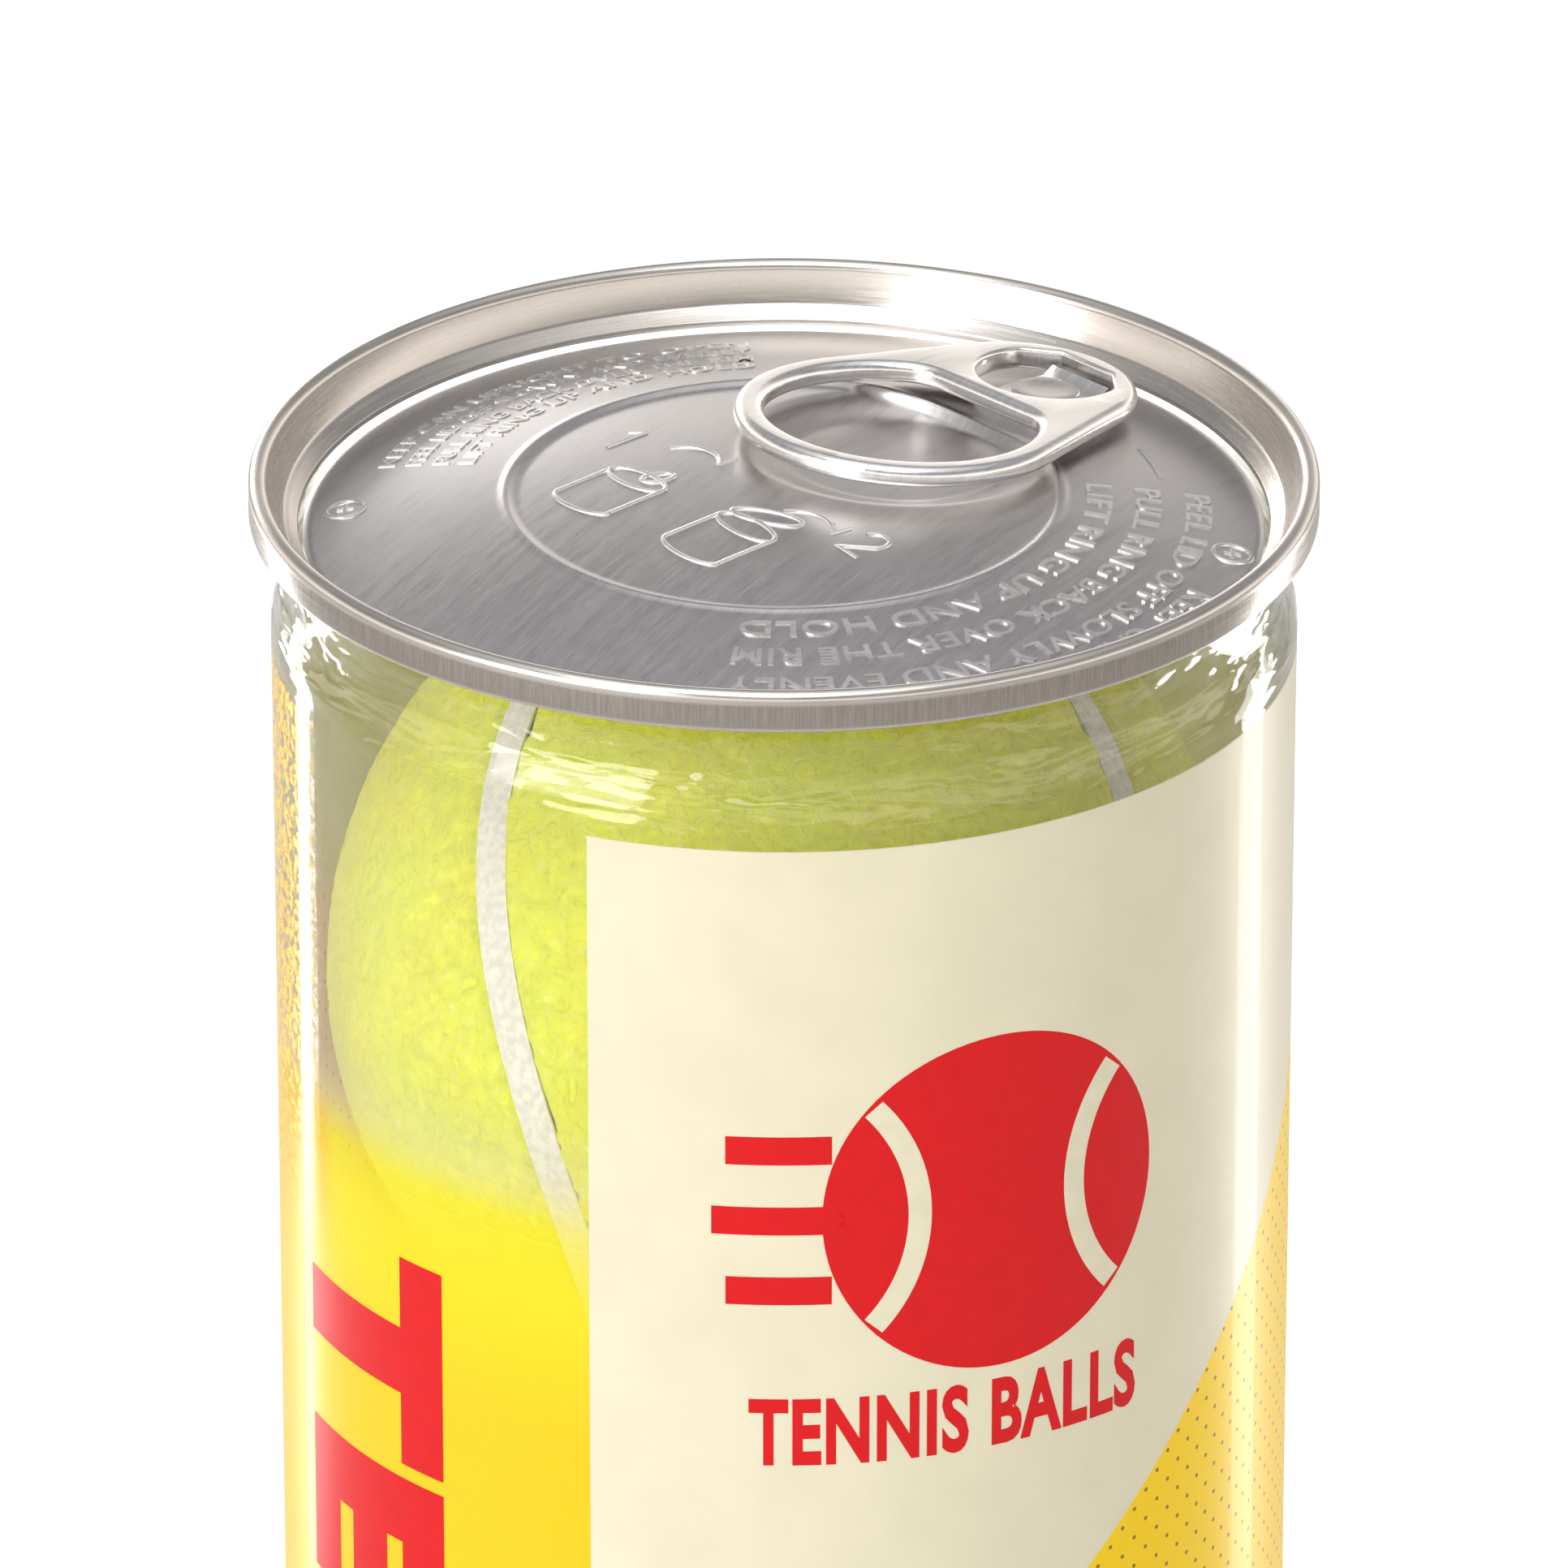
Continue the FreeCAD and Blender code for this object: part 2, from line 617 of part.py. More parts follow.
def cover_pieces():
    """The two felt panels and the seam between them, about the origin."""
    outside = number("ball_radius")
    inside = number("ball_radius - felt")
    shift = number("seam_half") / outside
    cutters = [Part.makeRuledSurface(seam_side(inside * 0.9, way * shift),
                                     seam_side(outside * 1.1, way * shift)) for way in (-1, 1)]
    shell = Part.makeSphere(outside).cut(Part.makeSphere(inside))
    pieces = sorted(shell.generalFuse(cutters)[0].Solids, key=lambda solid: solid.Volume)
    if len(pieces) != 3:
        raise RuntimeError(f"ball cover split into {len(pieces)} pieces, not 3")
    seam = pieces[0].common(Part.makeSphere(number("ball_radius - seam_sink")))
    panels = sorted(pieces[1:], key=lambda solid: solid.CenterOfMass.z)
    return {"felt_a": panels[1], "felt_b": panels[0], "seam": seam.Solids[0]}


def make_balls():
    """Three balls on the can's axis, each core in halves, each cover in three pieces."""
    cover = cover_pieces()
    made = []
    for index, ball in enumerate(BALLS):
        yaw, pitch, roll = BALL_TURNS[ball]
        height = f"first_ball + {index} * ball_pitch"
        for upper in (True, False):
            half = make_core_half(ball, upper)
            place(half, "0", "0", height, str(yaw), str(pitch), str(roll))
            made.append(half)
        for piece, shape in cover.items():
            node = doc.addObject("Part::Feature", f"ball_{ball}_{piece}")
            node.Label = f"ball_{ball}_{piece}"
            node.Shape = shape
            node.Placement = Placement(Vector(0, 0, number(height)), Rotation(yaw, pitch, roll))
            made.append(node)
    return made


nodes = [
    make_can_body(),
    make_label_sleeve(),
    make_end_ring(),
    make_sealing_compound(),
    make_end_panel(),
    make_tab_tongue(),
    make_pull_tab(),
] + make_balls()
doc.recompute()

faults = [obj.Name for obj in doc.Objects if {"Invalid", "Error"} & set(obj.State)]
faults += [node.Name for node in nodes if node.Shape.isNull() or not node.Shape.isValid()]
if faults:
    raise RuntimeError("failed objects: " + ", ".join(faults))

os.makedirs("parts", exist_ok=True)
for node in nodes:
    node.Shape.exportStep(f"parts/{node.Label}.step")
    box = node.Shape.BoundBox
    print(f"{node.Label:28s} solids {len(node.Shape.Solids)}  volume {node.Shape.Volume:10.1f}"
          f"  z {box.ZMin:8.2f} {box.ZMax:8.2f}")
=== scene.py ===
"""Looks of the tennis ball can: clear container, printed film, peel-off end with a ring tab, balls.

Lengths are metres in the can's own frame, +Z up, with the can's front towards -Y. Places in the
end are given below the seam's top, and the tab has a frame of its own at the rivet.
"""
import math

import bpy
from bpy.props import FloatProperty, FloatVectorProperty, PointerProperty
from mathutils import Matrix, Vector, noise
from mathutils.kdtree import KDTree


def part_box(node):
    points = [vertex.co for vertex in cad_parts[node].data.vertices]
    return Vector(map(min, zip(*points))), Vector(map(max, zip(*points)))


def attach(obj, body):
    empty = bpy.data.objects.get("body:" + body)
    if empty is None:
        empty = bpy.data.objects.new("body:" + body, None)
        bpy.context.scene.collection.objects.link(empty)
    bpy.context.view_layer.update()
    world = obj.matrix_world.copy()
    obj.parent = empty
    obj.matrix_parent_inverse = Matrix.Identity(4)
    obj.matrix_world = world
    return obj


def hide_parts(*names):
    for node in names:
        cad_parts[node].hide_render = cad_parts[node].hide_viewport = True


bl_info = {
    "name": "Tennis Ball Can",
    "version": (1, 0, 0),
    "blender": (4, 5, 0),
    "location": "View3D > Sidebar > Ball Can",
    "description": "Builds a tennis ball can piece by piece on its packed frame",
    "category": "Add Mesh",
}

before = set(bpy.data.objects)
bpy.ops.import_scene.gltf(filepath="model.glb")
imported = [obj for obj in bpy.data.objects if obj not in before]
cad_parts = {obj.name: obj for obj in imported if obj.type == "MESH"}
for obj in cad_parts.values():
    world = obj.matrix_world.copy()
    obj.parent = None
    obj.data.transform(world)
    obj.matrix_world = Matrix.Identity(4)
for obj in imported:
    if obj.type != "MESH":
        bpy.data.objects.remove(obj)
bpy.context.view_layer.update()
MM = 0.001

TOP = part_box("end_ring")[1].z
SEAM_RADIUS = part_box("end_ring")[1].x
FILM_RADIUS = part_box("label_sleeve")[1].x
FILM_SHEET = 0.10 * MM
WALL_RADIUS = FILM_RADIUS - FILM_SHEET - 0.02 * MM
PANEL_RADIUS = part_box("end_panel")[1].x
FILM_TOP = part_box("label_sleeve")[1].z
FILM_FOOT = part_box("label_sleeve")[0].z
BALLS = ("bottom", "middle", "top")
BALL_TURNS = {"bottom": (70, 20, 100), "middle": (-160, 65, 30), "top": (48, 22, -28)}
LIP_RADIUS = PANEL_RADIUS + 0.35 * MM


# ---------------------------------------------------------------- sizes and colours

def length(name, value, note):
    """A size that a user may change."""
    return FloatProperty(name=name, description=note, default=value, unit="LENGTH",
                         subtype="DISTANCE", precision=5)


def colour(name, value, note):
    """A colour that a user may change."""
    return FloatVectorProperty(name=name, description=note, default=value, subtype="COLOR",
                               size=3, min=0.0, max=1.0)


class CanSizes(bpy.types.PropertyGroup):
    """Sizes of the can that the frame doesn't give."""
    wall: length("Wall", 0.5 * MM, "Thickness of the container's wall")
    heel: length("Heel", 4.0 * MM, "Radius of the round heel at the foot")
    foot_radius: length("Foot radius", 29.5 * MM, "Inside of the ring that the can stands on")
    push_radius: length("Push-up radius", 25.5 * MM, "Radius of the raised base")
    push_rise: length("Push-up rise", 2.0 * MM, "Height of the raised base's edge")
    neck_step: length("Neck step", 1.15 * MM, "Neck radius less than the wall radius")
    crown: length("Seam crown", 0.675 * MM, "Radius of the seam's round top")
    seam_height: length("Seam height", 3.0 * MM, "Height of the seam")
    chuck_inset: length("Chuck inset", 2.35 * MM, "Chuck wall's foot inside the seam")
    dome_drop: length("Dome drop", 0.77 * MM, "Panel's crown below the seam's top")
    dome_radius: length("Dome radius", 168.25 * MM, "Radius of the domed panel")
    step_radius: length("Step radius", 19.4 * MM, "Radius of the ring step in the panel")
    step_depth: length("Step depth", 0.27 * MM, "Depth of the panel inside the step")
    step_bead: length("Step bead", 0.14 * MM, "Height of the bead along the ring step")
    well_depth: length("Well depth", 1.3 * MM, "Depth of the finger well")
    well_floor: length("Well floor", 7.4 * MM, "Radius of the finger well's floor")
    well_mouth: length("Well mouth", 11.6 * MM, "Radius of the finger well's mouth")
    well_place: length("Well place", 11.1 * MM, "Well's centre from the can's axis")
    rivet_place: length("Rivet place", 26.0 * MM, "Rivet from the can's axis")
    tab_turn: FloatProperty(name="Tab turn", description="Tab's direction from +X",
                            default=math.radians(43.5), subtype="ANGLE")
    tab_tilt: FloatProperty(name="Tab tilt", description="Tab's slope down to the nose",
                            default=math.radians(5.7), subtype="ANGLE")
    ball_radius: length("Ball radius", 33.1 * MM, "Ball over its felt")
    seam_half: length("Seam half width", 0.95 * MM, "Half the width of a ball's seam")
    seam_sink: length("Seam sink", 0.45 * MM, "Ball's seam below the felt")


class CanColours(bpy.types.PropertyGroup):
    """Colours of the can's finishes."""
    sheet_metal: colour("End sheet", (0.60, 0.58, 0.575), "Brushed sheet of the end")
    tab_metal: colour("Tab", (0.88, 0.86, 0.84), "Ring tab")
    felt: colour("Felt", (0.90, 0.98, 0.03), "Ball felt")
    felt_warm: colour("Warm felt", (0.97, 0.95, 0.02), "Warmer patches of the felt")
    ball_seam: colour("Ball seam", (0.86, 0.84, 0.72), "Rubber seam of a ball")
    cream: colour("Cream print", (0.79, 0.745, 0.55), "Cream ground of the print")
    yellow: colour("Yellow print", (0.98, 0.66, 0.002), "Yellow ground of the print")
    red: colour("Red print", (0.70, 0.002, 0.005), "Red of the print")
    ring_metal: colour("Ring sheet", (0.66, 0.62, 0.575), "Rolled sheet of the seam")
    # Painted highlight: a lighter copy of the end's sheet colour for the raised marks, standing in for
    # the light they catch.
    raised_metal_highlight: colour("Raised marks", (0.80, 0.785, 0.77), "Raised lettering of the end")
    brown: colour("Brown dots", (0.33, 0.17, 0.03), "Small dots on the yellow print")
    gold: colour("Gold wash", (0.95, 0.60, 0.01), "See-through gold over the clear window")
    wash: colour("Yellow wash", (0.95, 0.86, 0.02), "See-through yellow above the gold wash")
    # Painted shade: a dimmer copy of the seam's sheet colour for its outer wall, standing in for the
    # shade and dim reflection there.
    seam_wall_shade: colour("Seam wall", (0.36, 0.325, 0.295), "Streaked outer wall of the seam")
    rubber: colour("Core rubber", (0.05, 0.05, 0.05), "Rubber core of a ball")


def sizes():
    return bpy.context.scene.can_sizes


def colours():
    return bpy.context.scene.can_colours


# ---------------------------------------------------------------- node helpers

def node(tree, kind, settings=None, **inputs):
    """Adds a node, sets its properties, and links or sets its inputs by name or number."""
    made = tree.nodes.new(kind)
    for name, value in (settings or {}).items():
        setattr(made, name, value)
    for name, value in inputs.items():
        key = int(name[1:]) if name[0] == "i" and name[1:].isdigit() else name.replace("_", " ")
        socket = made.inputs[key]
        if isinstance(value, bpy.types.NodeSocket):
            tree.links.new(value, socket)
        else:
            socket.default_value = value
    return made


def maths(tree, operation, first, second=0.0, third=0.0):
    """Output of a Math node."""
    return node(tree, "ShaderNodeMath", {"operation": operation},
                i0=first, i1=second, i2=third).outputs[0]


def between(tree, value, low, high):
    """Smooth 0 to 1 as a value goes from low to high."""
    made = node(tree, "ShaderNodeMapRange", {"interpolation_type": "SMOOTHSTEP"},
                Value=value, From_Min=low, From_Max=high)
    return made.outputs[0]


def blended(tree, share, first, second):
    """Colour between two others by a share from 0 to 1."""
    made = node(tree, "ShaderNodeMix", {"data_type": "RGBA"})
    for socket, value in ((made.inputs[0], share), (made.inputs[6], first),
                          (made.inputs[7], second)):
        if isinstance(value, bpy.types.NodeSocket):
            tree.links.new(value, socket)
        elif socket.type == "RGBA":
            socket.default_value = (*value, 1.0)
        else:
            socket.default_value = value
    return made.outputs[2]


def new_material(name):
    """A material with its Principled BSDF and its Object coordinates."""
    material = bpy.data.materials.new(name)
    material.use_nodes = True
    tree = material.node_tree
    shader = tree.nodes["Principled BSDF"]
    place = node(tree, "ShaderNodeTexCoord").outputs["Object"]
    return material, tree, shader, place


def new_group(name, inputs, outputs):
    """An empty shader group with named float, colour or vector sockets."""
    tree = bpy.data.node_groups.new(name, "ShaderNodeTree")
    kinds = {"value": "NodeSocketFloat", "colour": "NodeSocketColor", "vector": "NodeSocketVector"}
    for label, kind, default in inputs:
        socket = tree.interface.new_socket(name=label, in_out="INPUT", socket_type=kinds[kind])
        if default is not None:
            socket.default_value = default
    for label, kind in outputs:
        tree.interface.new_socket(name=label, in_out="OUTPUT", socket_type=kinds[kind])
    return tree, tree.nodes.new("NodeGroupInput").outputs, tree.nodes.new("NodeGroupOutput").inputs


def brushed_grain_group():
    """Fine straight scratches: a value for roughness, a tone and a height."""
    tree, given, out = new_group(
        "Brushed Grain",
        [("Place", "vector", None), ("Turn", "value", 1.0), ("Fineness", "value", 1.0)],
        [("Tone", "value"), ("Height", "value")])
    spin = node(tree, "ShaderNodeVectorRotate", {"rotation_type": "Z_AXIS"},
                Vector=given["Place"], Angle=given["Turn"])
    stretched = node(tree, "ShaderNodeVectorMath", {"operation": "MULTIPLY"},
                     i0=spin.outputs[0], i1=(260.0, 5200.0, 900.0)).outputs[0]
    scaled = node(tree, "ShaderNodeVectorMath", {"operation": "SCALE"},
                  i0=stretched, Scale=given["Fineness"]).outputs[0]
    fine = node(tree, "ShaderNodeTexNoise", Vector=scaled, Scale=1.0, Detail=4.0, Roughness=0.7)
    broad = node(tree, "ShaderNodeTexNoise", Vector=scaled, Scale=0.18, Detail=2.0)
    mixed = maths(tree, "MULTIPLY_ADD", fine.outputs[0], 0.7,
                  maths(tree, "MULTIPLY", broad.outputs[0], 0.3))
    tree.links.new(between(tree, mixed, 0.3, 0.7), out["Tone"])
    tree.links.new(fine.outputs[0], out["Height"])
    return tree


def turned_grain_group():
    """Scratches that run round the can's axis, as on the rolled seam."""
    tree, given, out = new_group(
        "Turned Grain", [("Place", "vector", None), ("Fineness", "value", 1.0)],
        [("Tone", "value"), ("Height", "value")])
    parts = node(tree, "ShaderNodeSeparateXYZ", Vector=given["Place"]).outputs
    angle = maths(tree, "ARCTAN2", parts[1], parts[0])
    reach = maths(tree, "SQRT", maths(tree, "MULTIPLY_ADD", parts[0], parts[0],
                                      maths(tree, "MULTIPLY", parts[1], parts[1])))
    joined = node(tree, "ShaderNodeCombineXYZ", X=maths(tree, "MULTIPLY", angle, 9.0),
                  Y=maths(tree, "MULTIPLY", reach, 5200.0),
                  Z=maths(tree, "MULTIPLY", parts[2], 5200.0)).outputs[0]
    scaled = node(tree, "ShaderNodeVectorMath", {"operation": "SCALE"},
                  i0=joined, Scale=given["Fineness"]).outputs[0]
    fine = node(tree, "ShaderNodeTexNoise", Vector=scaled, Scale=1.0, Detail=3.0)
    tree.links.new(between(tree, fine.outputs[0], 0.3, 0.7), out["Tone"])
    tree.links.new(fine.outputs[0], out["Height"])
    return tree


def group_node(tree, group, **inputs):
    """Outputs of a node group with its inputs linked or set."""
    made = tree.nodes.new("ShaderNodeGroup")
    made.node_tree = group
    for name, value in inputs.items():
        if isinstance(value, bpy.types.NodeSocket):
            tree.links.new(value, made.inputs[name])
        else:
            made.inputs[name].default_value = value
    return made.outputs


def around_can(tree, place):
    """Degrees from the can's front, positive to the right, and millimetres below the top."""
    parts = node(tree, "ShaderNodeSeparateXYZ", Vector=place).outputs
    angle = maths(tree, "ARCTAN2", parts[0], maths(tree, "MULTIPLY", parts[1], -1.0))
    degrees = maths(tree, "MULTIPLY", angle, 180.0 / math.pi)
    height = maths(tree, "MULTIPLY", maths(tree, "SUBTRACT", parts[2], TOP), 1.0 / MM)
    return degrees, height


# ---------------------------------------------------------------- materials

def sheet_metal_material(name, tint, turn=0.0, fineness=1.0, rough=(0.24, 0.40), bump=0.12):
    """Brushed sheet with straight scratches turned from +X."""
    material, tree, shader, place = new_material(name)
    grain = bpy.data.node_groups.get("Brushed Grain") or brushed_grain_group()
    marks = group_node(tree, grain, Place=place, Turn=turn, Fineness=fineness)
    low = tuple(channel * 0.90 for channel in tint)
    high = tuple(min(channel * 1.07, 1.0) for channel in tint)
    tree.links.new(blended(tree, marks["Tone"], low, high), shader.inputs["Base Color"])
    rough_map = node(tree, "ShaderNodeMapRange", Value=marks["Tone"], To_Min=rough[0],
                     To_Max=rough[1]).outputs[0]
    tree.links.new(rough_map, shader.inputs["Roughness"])
    bumped = node(tree, "ShaderNodeBump", Height=marks["Height"], Strength=bump,
                  Distance=0.02 * MM).outputs[0]
    tree.links.new(bumped, shader.inputs["Normal"])
    shader.inputs["Metallic"].default_value = 1.0
    return material


def mirror_share(tree, ior, normal=None):
    """Share of the light that a clear sheet mirrors, the same from both of its sides."""
    behind = node(tree, "ShaderNodeNewGeometry").outputs["Backfacing"]
    fresnel = node(tree, "ShaderNodeFresnel",
                   IOR=maths(tree, "MULTIPLY_ADD", behind, 1 / ior - ior, ior))
    if normal:
        tree.links.new(normal, fresnel.inputs["Normal"])
    return fresnel.outputs[0]


def clear_plastic_material(name, tint, rough, ior):
    """Thin clear plastic: it lets light straight through and mirrors more at a slant."""
    material, tree, shader, place = new_material(name)
    shader.inputs["Metallic"].default_value = 1.0
    cloud = node(tree, "ShaderNodeTexNoise", Vector=place, Scale=90.0, Detail=3.0).outputs[0]
    low = tuple(channel * 0.96 for channel in tint)
    tree.links.new(blended(tree, cloud, low, tint), shader.inputs["Base Color"])
    tree.links.new(node(tree, "ShaderNodeMapRange", Value=cloud, To_Min=rough,
                        To_Max=rough * 2.2).outputs[0], shader.inputs["Roughness"])
    tree.links.new(mirror_share(tree, ior), shader.inputs["Alpha"])
    return material


def crinkle_bump(tree, place, height):
    """Fine folds of the shrunk film on neck and shoulder, and a faint wave on the wall."""
    stretched = node(tree, "ShaderNodeVectorMath", {"operation": "MULTIPLY"},
                     i0=place, i1=(70.0, 70.0, 330.0)).outputs[0]
    folds = node(tree, "ShaderNodeTexNoise", Vector=stretched, Scale=1.0, Detail=2.0,
                 Distortion=0.9).outputs[0]
    share = node(tree, "ShaderNodeMapRange", {"interpolation_type": "SMOOTHSTEP"}, Value=height,
                 From_Min=-14.0, From_Max=-9.0, To_Min=0.02 * MM, To_Max=1.1 * MM).outputs[0]
    return node(tree, "ShaderNodeBump", Height=folds, Distance=share).outputs[0]


def dot_mask(tree, degrees, height, pitch, radius):
    """Small dots in staggered rows round the can."""
    arc_length = maths(tree, "MULTIPLY", degrees, math.pi / 180.0 * FILM_RADIUS / MM)
    row = maths(tree, "DIVIDE", height, pitch * 0.5)
    odd = maths(tree, "MODULO", maths(tree, "ABSOLUTE", maths(tree, "FLOOR", row)), 2.0)
    column = maths(tree, "MULTIPLY_ADD", odd, 0.5, maths(tree, "DIVIDE", arc_length, pitch))
    across = maths(tree, "MULTIPLY", maths(tree, "SUBTRACT", maths(tree, "FRACT", column), 0.5),
                   pitch)
    down = maths(tree, "MULTIPLY", maths(tree, "SUBTRACT", maths(tree, "FRACT", row), 0.5),
                 pitch * 0.5)
    away = maths(tree, "SQRT", maths(tree, "MULTIPLY_ADD", across, across,
                                     maths(tree, "MULTIPLY", down, down)))
    return between(tree, away, radius + 0.04, radius - 0.04)


def film_material(name):
    """Film printed cream and dotted yellow, with a clear window, a gold wash and speckles."""
    tint = colours()
    material, tree, shader, place = new_material(name)
    degrees, height = around_can(tree, place)
    behind = between(tree, degrees, -95.9, -96.1)
    onward = maths(tree, "MULTIPLY_ADD", behind, 360.0, degrees)
    border = maths(tree, "MINIMUM", maths(tree, "MULTIPLY_ADD", onward, 0.60, -94.6), -40.0)
    in_yellow = between(tree, maths(tree, "SUBTRACT", height, border), 0.06, -0.06)
    mottle = node(tree, "ShaderNodeTexNoise", Vector=place, Scale=160.0, Detail=4.0).outputs[0]
    cream = blended(tree, between(tree, mottle, 0.3, 0.7), tint.cream,
                    tuple(channel * 0.955 for channel in tint.cream))
    dots = dot_mask(tree, degrees, height, 2.3, 0.17)
    dotted = blended(tree, dots, tint.yellow, tint.brown)
    ground = blended(tree, in_yellow, cream, dotted)
    window = maths(tree, "MULTIPLY", between(tree, degrees, -21.95, -22.05),
                   between(tree, degrees, -96.05, -95.95))
    golden = blended(tree, between(tree, height, -44.0, -62.0), tint.wash, tint.gold)
    golden = blended(tree, between(tree, degrees, -60.0, -66.0), golden, tint.gold)
    inks = blended(tree, window, ground, golden)
    wash = maths(tree, "MULTIPLY", between(tree, height, -34.0, -60.0), 0.84)
    grit = node(tree, "ShaderNodeTexNoise", Vector=place, Scale=1500.0, Detail=2.0).outputs[0]
    band = maths(tree, "MULTIPLY", between(tree, degrees, -62.0, -74.0), 0.78)
    speckles = maths(tree, "MULTIPLY", between(tree, grit, 0.44, 0.58), band)
    veil = maths(tree, "MAXIMUM", wash, speckles)
    printed = maths(tree, "SUBTRACT", 1.0, maths(tree, "MULTIPLY", window,
                                                 maths(tree, "SUBTRACT", 1.0, veil)))
    printed = maths(tree, "MULTIPLY", printed, between(tree, height, -12.75, -12.85))
    bare = maths(tree, "SUBTRACT", 1.0, printed)
    inked = between(tree, printed, 0.0, 0.3)
    bump = crinkle_bump(tree, place, height)
    mirror = mirror_share(tree, 1.48, bump)
    tree.links.new(bump, shader.inputs["Normal"])
    tree.links.new(blended(tree, inked, (1.0, 1.0, 0.98), inks), shader.inputs["Base Color"])
    tree.links.new(maths(tree, "SUBTRACT", 1.0, inked), shader.inputs["Metallic"])
    path = node(tree, "ShaderNodeLightPath").outputs
    soft_light = maths(tree, "MAXIMUM", path["Is Shadow Ray"], path["Is Diffuse Ray"])
    ink_share = maths(tree, "MULTIPLY", printed, maths(tree, "MULTIPLY_ADD", soft_light, -0.55, 1.0))
    tree.links.new(maths(tree, "MULTIPLY_ADD", bare, mirror, ink_share), shader.inputs["Alpha"])
    tree.links.new(node(tree, "ShaderNodeMapRange", Value=printed, To_Min=0.04,
                        To_Max=0.34).outputs[0], shader.inputs["Roughness"])
    shader.inputs["Specular IOR Level"].default_value = 0.3
    shader.inputs["Coat Weight"].default_value = 0.12
    shader.inputs["Coat Roughness"].default_value = 0.05
    return material


def seam_metal_material(name):
    """Rolled seam: turned grain, and painted shade on the outer wall, a dimmer copy of the sheet with
    fine upright streaks.
    """
    tint = colours()
    material, tree, shader, place = new_material(name)
    group = bpy.data.node_groups.get("Turned Grain") or turned_grain_group()
    marks = group_node(tree, group, Place=place, Fineness=1.0)
    degrees, height = around_can(tree, place)
    parts = node(tree, "ShaderNodeSeparateXYZ", Vector=place).outputs
    reach = maths(tree, "SQRT", maths(tree, "MULTIPLY_ADD", parts[0], parts[0],
                                      maths(tree, "MULTIPLY", parts[1], parts[1])))
    # Painted shade: the outer wall between its rounded top and foot takes the dimmer colour; the upright
    # streaks are grain.
    outer = between(tree, reach, SEAM_RADIUS - 0.20 * MM, SEAM_RADIUS - 0.06 * MM)
    shade_band = maths(tree, "MULTIPLY", between(tree, height, -0.75, -1.05),
                  between(tree, height, -2.80, -2.55))
    wall = maths(tree, "MULTIPLY", outer, shade_band)
    upright = node(tree, "ShaderNodeCombineXYZ", X=maths(tree, "MULTIPLY", degrees, 6.0),
                   Y=maths(tree, "MULTIPLY", height, 0.35)).outputs[0]
    streaks = node(tree, "ShaderNodeTexNoise", Vector=upright, Scale=1.0, Detail=3.0).outputs[0]
    painted_shade_colour = blended(tree, between(tree, streaks, 0.3, 0.7), tint.seam_wall_shade,
                   tuple(channel * 1.3 for channel in tint.seam_wall_shade))
    plain = blended(tree, marks["Tone"], tuple(channel * 0.94 for channel in tint.ring_metal),
                    tint.ring_metal)
    tree.links.new(blended(tree, wall, plain, painted_shade_colour), shader.inputs["Base Color"])
    tree.links.new(node(tree, "ShaderNodeMapRange", Value=marks["Tone"], To_Min=0.22,
                        To_Max=0.29).outputs[0], shader.inputs["Roughness"])
    tree.links.new(node(tree, "ShaderNodeBump", Height=marks["Height"], Strength=0.03,
                        Distance=0.02 * MM).outputs[0], shader.inputs["Normal"])
    shader.inputs["Metallic"].default_value = 1.0
    return material


def felt_material(name):
    """Woolly felt with warmer patches; the paler fibre tips are a painted highlight and the dimmer roots
    painted shade, both following the felt's bump.
    """
    tint = colours()
    material, tree, shader, place = new_material(name)
    wool = node(tree, "ShaderNodeTexNoise", Vector=place, Scale=620.0, Detail=7.0,
                Roughness=0.72, Distortion=2.2).outputs[0]
    patch = node(tree, "ShaderNodeTexNoise", Vector=place, Scale=95.0, Detail=3.0).outputs[0]
    ground = blended(tree, between(tree, patch, 0.35, 0.68), tint.felt, tint.felt_warm)
    # Painted highlight: the high points of the wool bump are made paler.
    light = blended(tree, between(tree, wool, 0.50, 0.68), ground, (0.96, 1.0, 0.18))
    # Painted shade: the low points of the wool bump are dimmed.
    painted_shade_colour = blended(tree, between(tree, wool, 0.48, 0.30), light,
                   tuple(channel * 0.82 for channel in tint.felt))
    tree.links.new(painted_shade_colour, shader.inputs["Base Color"])
    tree.links.new(node(tree, "ShaderNodeBump", Height=wool, Strength=0.9,
                        Distance=0.35 * MM).outputs[0], shader.inputs["Normal"])
    shader.inputs["Roughness"].default_value = 0.95
    shader.inputs["Sheen Weight"].default_value = 0.25
    shader.inputs["Sheen Roughness"].default_value = 0.45
    shader.inputs["Sheen Tint"].default_value = (0.95, 1.0, 0.55, 1.0)
    return material


def matt_material(name, tint, grain_scale, depth, rough=0.75):
    """A plain moulded surface with a fine uneven grain."""
    material, tree, shader, place = new_material(name)
    grain = node(tree, "ShaderNodeTexNoise", Vector=place, Scale=grain_scale, Detail=4.0).outputs[0]
    low = tuple(channel * 0.82 for channel in tint)
    tree.links.new(blended(tree, between(tree, grain, 0.3, 0.7), low, tint),
                   shader.inputs["Base Color"])
    tree.links.new(node(tree, "ShaderNodeMapRange", Value=grain, To_Min=rough - 0.1,
                        To_Max=rough + 0.1).outputs[0], shader.inputs["Roughness"])
    tree.links.new(node(tree, "ShaderNodeBump", Height=grain, Strength=0.5,
                        Distance=depth).outputs[0], shader.inputs["Normal"])
    return material


